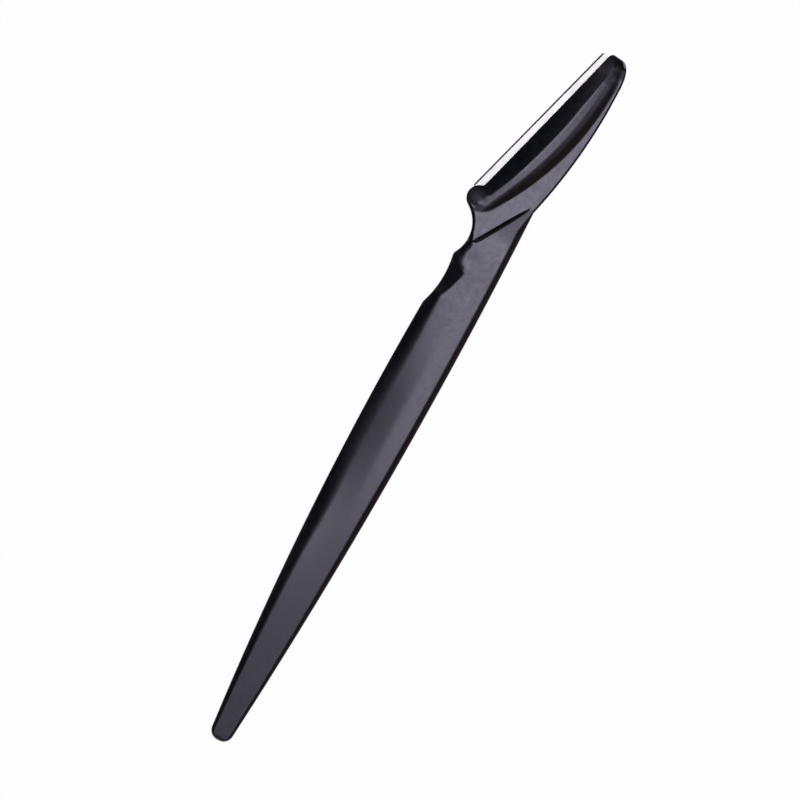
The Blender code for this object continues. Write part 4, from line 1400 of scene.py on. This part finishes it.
@dataclass
class MouldedHandle:
    """The handle: grip, neck, web and crowned holder in one moulding, with the blade's slot."""

    plan: HandlePlan
    grip: GripForm
    head: HeadForm
    coarse_step: float = 0.6
    fine_step: float = 0.2
    fine_from: float = 90.0
    steep_weight: float = 0.6
    station_samples: int = 24001
    end_inset: float = 0.01
    columns: int = 84
    edge_columns: int = 5
    draft: float = 0.015
    draft_share: float = 0.05
    neck_places: tuple = (-0.5, -0.1, 0.3, 1.4)
    nose_places: tuple = (-4.0, -1.0)
    grip_edge: float = 0.2
    neck_corner: float = 1.0
    neck_edge: float = 0.58
    lobe_edge: float = 0.2
    lip_edge: float = 0.1
    spine_edge: float = 0.38
    edge_share: float = 0.35
    edge_flatness: float = 0.5
    edge_bend: float = 1.5
    least_half: float = 0.3
    least_rim: float = 0.25
    step_blend: float = 0.1
    soften_reach: float = 0.13
    soften_passes: int = 3
    slot_clearance: float = 0.05

    def stations(self) -> np.ndarray:
        """Choose the cross-sections, closer where the outline is steep.

        Returns:
            Their X, from tail to tip.
        """
        turn = (1 - np.cos(np.linspace(0, math.pi, self.station_samples))) / 2
        x = turn * (self.plan.length - 2 * self.end_inset) + self.end_inset
        step = np.where(x < self.fine_from, self.coarse_step, self.fine_step)
        slopes = [np.gradient(side(x), x) for side in (self.plan.blade_side, self.plan.spine_side)]
        density = np.sqrt(1 + (slopes[0] ** 2 + slopes[1] ** 2) * self.steep_weight) / step
        total = np.concatenate(([0.0], np.cumsum((density[1:] + density[:-1]) / 2 * np.diff(x))))
        return np.interp(np.linspace(0, total[-1], int(total[-1])), total, x)

    def edge_radii(self, x: np.ndarray) -> tuple[np.ndarray, np.ndarray]:
        """Give the rounding of the upper edge.

        Args:
            x: X of the cross-sections.

        Returns:
            The radii on the blade's side and on the spine's side.
        """
        lobe = self.plan.lobe
        places = [self.plan.neck.x + place for place in self.neck_places]
        places += [lobe.x - lobe.radius, lobe.x, lobe.x + lobe.radius]
        blade = np.interp(x, places, [self.grip_edge, self.neck_corner, self.neck_corner,
                                      self.neck_edge, self.neck_edge, self.lobe_edge, self.lip_edge])
        places = [lobe.x, self.plan.grip_end, *(self.plan.length + place for place in self.nose_places)]
        spine = np.interp(x, places, [self.grip_edge, self.spine_edge, self.spine_edge, self.lip_edge])
        return blade, spine

    def soften(self, x: np.ndarray, y: np.ndarray, height: np.ndarray) -> np.ndarray:
        """Round every edge and corner of the surface a little.

        Args:
            x: X of the grid.
            y: Y of the grid.
            height: heights over the grid.

        Returns:
            The softened heights.
        """
        def nearness(axis: int) -> np.ndarray:
            """Weight of each pair of neighbours along one direction of the grid."""
            apart = np.hypot(np.diff(x, axis=axis), np.diff(y, axis=axis))
            return np.exp(-((apart / self.soften_reach) ** 2))

        rows, columns = nearness(0), nearness(1)
        for _ in range(self.soften_passes):
            total = np.ones_like(height)
            value = height.copy()
            value[1:] += rows * height[:-1]
            total[1:] += rows
            value[:-1] += rows * height[1:]
            total[:-1] += rows
            value[:, 1:] += columns * height[:, :-1]
            total[:, 1:] += columns
            value[:, :-1] += columns * height[:, 1:]
            total[:, :-1] += columns
            height = value / total
        return height

    def surface(self) -> tuple[np.ndarray, np.ndarray, np.ndarray, np.ndarray]:
        """Lay a grid over the plan and lift it to the moulding's upper side.

        Returns:
            X, Y and height of the grid, and the outermost Y of both sides.
        """
        stations = self.stations()
        blade, spine = self.plan.blade_side(stations), self.plan.spine_side(stations)
        width = blade - spine
        draft = np.minimum(self.draft, width * self.draft_share)
        lean = np.hypot(1.0, np.gradient(np.column_stack((blade, spine)), stations, axis=0))
        radii = np.column_stack(self.edge_radii(stations)) * lean
        radii = np.minimum(radii, width[:, None] * self.edge_share)
        turn = np.linspace(0, math.pi / 2, self.edge_columns)
        near = 1 - np.cos(turn)
        low, high = spine + draft, blade - draft
        middle = np.linspace(0, 1, self.columns)[1:-1]
        inner_low, inner_high = low + radii[:, 1], high - radii[:, 0]
        y = np.hstack((low[:, None] + radii[:, 1:] * near,
                       inner_low[:, None] + (inner_high - inner_low)[:, None] * middle,
                       high[:, None] - radii[:, :1] * near[::-1]))
        x = np.repeat(stations[:, None], y.shape[1], axis=1)
        height = soft_upper(self.grip.heights(x, y), self.head.heights(x, y), self.step_blend)
        height = self.soften(x, y, np.maximum(height, self.least_half))
        fall_low = 1 - np.clip((y - low[:, None]) / radii[:, 1:], 0, 1)
        fall_high = 1 - np.clip((high[:, None] - y) / radii[:, :1], 0, 1)
        radius = np.column_stack(self.edge_radii(stations)) * self.edge_flatness
        height -= radius[:, 1:] * fall_low**self.edge_bend + radius[:, :1] * fall_high**self.edge_bend
        return x, y, np.maximum(height, self.least_rim), np.column_stack((spine, blade))

    def body(self) -> bpy.types.Mesh:
        """Make the closed moulding, alike above and below.

        Returns:
            The mesh, in millimetres of the drawing frame.
        """
        x, y, height, sides = self.surface()
        rows, columns = x.shape
        upper = np.column_stack((x.ravel(), y.ravel(), height.ravel()))
        upper[:, 1] = np.maximum(upper[:, 1], self.plan.spine_limit)
        sides = np.maximum(sides, self.plan.spine_limit)
        lower = upper * (1, 1, -1)
        walls = [np.column_stack((x[:, 0], sides[:, side], np.zeros(rows))) for side in (0, 1)]
        points = np.vstack((upper, lower, *walls))
        size = rows * columns
        grid = np.arange(size).reshape(rows, columns)
        spine, blade = 2 * size + np.arange(rows), 2 * size + rows + np.arange(rows)

        def quads(first: np.ndarray, second: np.ndarray) -> np.ndarray:
            """Join two lines of points with quads."""
            return np.column_stack((first[:-1], first[1:], second[1:], second[:-1]))

        top = np.column_stack((grid[:-1, :-1].ravel(), grid[1:, :-1].ravel(),
                               grid[1:, 1:].ravel(), grid[:-1, 1:].ravel()))
        seams = ((grid[:, -1], blade), (blade, grid[:, -1] + size),
                 (spine, grid[:, 0]), (grid[:, 0] + size, spine),
                 (grid[0], grid[0] + size), (grid[-1] + size, grid[-1]))
        faces = [top, top[:, ::-1] + size, *(quads(first, second) for first, second in seams)]
        corners = [(grid[0, -1], blade[0], grid[0, -1] + size),
                   (grid[0, 0], grid[0, 0] + size, spine[0]),
                   (grid[-1, -1] + size, blade[-1], grid[-1, -1]),
                   (spine[-1], grid[-1, 0] + size, grid[-1, 0])]
        mesh = bpy.data.meshes.new("moulding")
        mesh.from_pydata(points.tolist(), [], np.vstack(faces).tolist() + [
            tuple(int(index) for index in corner) for corner in corners])
        mesh.validate()
        return mesh

    def build(self, placement: Placement, strip: SteelStrip,
              material: bpy.types.Material) -> bpy.types.Object:
        """Make the handle with the blade's slot, whose posts fill the blade's holes.

        Args:
            placement: turns millimetres into the row's frame.
            strip: the blade, which shapes the slot.
            material: the plastic's finish.

        Returns:
            The handle.
        """
        body = bpy.data.objects.new("moulding", self.body())
        slot = bpy.data.objects.new("slot", strip.mesh(self.slot_clearance, material))
        slot.data.transform(self.plan.head_matrix())
        for obj in (body, slot):
            bpy.context.scene.collection.objects.link(obj)
        cut = body.modifiers.new("slot", "BOOLEAN")
        cut.operation = "DIFFERENCE"
        cut.solver = "EXACT"
        cut.object = slot
        mesh = settled(body)
        bpy.data.objects.remove(slot, do_unlink=True)
        mesh.transform(placement.matrix())
        piece = finished(mesh, "handle_moulding", material, Shading.SMOOTH)
        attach(piece, "root")
        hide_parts("handle")
        return piece


@dataclass
class Studio:
    """Pale sweep, two softboxes overhead, dim room and the camera, in metres."""

    sweep_centre: float = 0.25
    sweep_radius: float = 3.0
    sweep_rise: float = 0.35
    sweep_rings: int = 12
    sweep_sides: int = 96
    sweep_below: float = 0.00003
    lamp_height: float = 1.0
    lamp_width: float = 0.52
    key_span: tuple[float, float] = (-0.02, 0.34)
    key_level: float = 9.6
    fill_span: tuple[float, float] = (-1.1, -0.26)
    fill_level: float = 1.7
    room_cool: tuple = (0.03, 0.045, 0.07, 1.0)
    room_dim: tuple = (0.06, 0.055, 0.06, 1.0)
    room_cool_range: tuple[float, float] = (-0.3, 0.5)
    room_warm: tuple = (0.45, 0.26, 0.2, 1.0)
    room_warm_range: tuple[float, float] = (-0.92, -0.6)
    lens: float = 135.0
    sensor: float = 36.0
    turn: float = math.radians(-61.54)
    clip: tuple[float, float] = (0.01, 20.0)
    frame_width: float = 0.15693
    aim: tuple[float, float, float] = (-0.00198, 0.00061, 0.0022)

    def sweep(self, finish: PaleSweep) -> bpy.types.Object:
        """Make the round floor that curves up into a low backdrop.

        Args:
            finish: the paper's finish.

        Returns:
            The floor.
        """
        arc = np.linspace(0, math.pi / 2, self.sweep_rings)
        flat = np.linspace(self.sweep_centre, self.sweep_radius, self.sweep_rings)
        profile = [(radius, 0.0) for radius in flat]
        profile += [(self.sweep_radius + self.sweep_rise * math.sin(angle),
                     self.sweep_rise * (1 - math.cos(angle))) for angle in arc[1:]]
        sides = self.sweep_sides
        points = [(0.0, 0.0, -self.sweep_below)]
        for radius, height in profile:
            points += [(radius * math.cos(math.tau * side / sides),
                        radius * math.sin(math.tau * side / sides), height - self.sweep_below)
                       for side in range(sides)]
        faces = [(0, 1 + side, 1 + (side + 1) % sides) for side in range(sides)]
        for ring in range(len(profile) - 1):
            start = 1 + ring * sides
            faces += [(start + side, start + sides + side, start + sides + (side + 1) % sides,
                       start + (side + 1) % sides) for side in range(sides)]
        mesh = bpy.data.meshes.new("sweep")
        mesh.from_pydata(points, [], faces)
        floor = finished(mesh, "paper_sweep", finish.material(), Shading.SMOOTH)
        return floor

    def softbox(self, name: str, span: tuple[float, float], level: float) -> None:
        """Hang a lamp over the table.

        Args:
            name: the lamp's name.
            span: its ends along X.
            level: its radiance.
        """
        lamp = bpy.data.lights.new(name, "AREA")
        lamp.shape = "RECTANGLE"
        lamp.size = span[1] - span[0]
        lamp.size_y = self.lamp_width
        lamp.energy = level * lamp.size * lamp.size_y * math.pi
        obj = bpy.data.objects.new(name, lamp)
        obj.location = ((span[0] + span[1]) / 2, 0.0, self.lamp_height)
        bpy.context.scene.collection.objects.link(obj)

    def room(self) -> None:
        """Light the room dimly: cool on the blade's side, and warm low down on the spine's."""
        world = bpy.data.worlds.new("dim_room")
        bpy.context.scene.world = world
        world.use_nodes = True
        make = NodeMaker(world.node_tree)
        direction = make.add("ShaderNodeTexCoord").outputs["Generated"]
        side = make.add("ShaderNodeSeparateXYZ", None, {0: direction}).outputs[1]
        to_cool = make.spread(side, *self.room_cool_range, (0.0, 1.0))
        from_warm = make.spread(side, *self.room_warm_range, (0.0, 1.0))
        dim = make.blend(to_cool, self.room_dim, self.room_cool)
        colour = make.blend(from_warm, self.room_warm, dim)
        make.tree.links.new(colour, world.node_tree.nodes["Background"].inputs["Color"])

    def camera(self) -> None:
        """Set a long lens straight above, turned as in the photograph."""
        data = bpy.data.cameras.new("overhead_camera")
        data.lens = self.lens
        data.sensor_width = self.sensor
        data.clip_start, data.clip_end = self.clip
        camera = bpy.data.objects.new("overhead_camera", data)
        distance = self.frame_width * self.lens / self.sensor
        camera.location = Vector(self.aim) + Vector((0, 0, distance))
        camera.rotation_euler = (0.0, 0.0, self.turn)
        bpy.context.scene.collection.objects.link(camera)
        bpy.context.scene.camera = camera

    def build(self) -> None:
        """Set the camera, the sweep, the lamps and the room."""
        self.camera()
        self.sweep(PaleSweep())
        self.softbox("key_softbox", self.key_span, self.key_level)
        self.softbox("fill_softbox", self.fill_span, self.fill_level)
        self.room()
        bpy.context.scene.view_settings.view_transform = "Standard"


def report(piece: bpy.types.Object) -> None:
    """Log a piece's name and face count."""
    LOG.info("%s: %d faces", piece.name, len(piece.data.polygons))


def main() -> None:
    """Build the studio and the trimmer's pieces."""
    logging.basicConfig(level=logging.INFO, format="%(name)s %(message)s", stream=sys.stdout)
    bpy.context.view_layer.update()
    Studio().build()
    LOG.info("studio ready")
    plan = HandlePlan()
    placement = Placement(plan)
    strip = SteelStrip(plan)
    report(strip.build(placement, GroundSteel().material(placement.head_matrix())))
    handle = MouldedHandle(plan, GripForm(plan), HeadForm(plan))
    report(handle.build(placement, strip, SatinPlastic().material()))


if __name__ == "__main__":
    main()
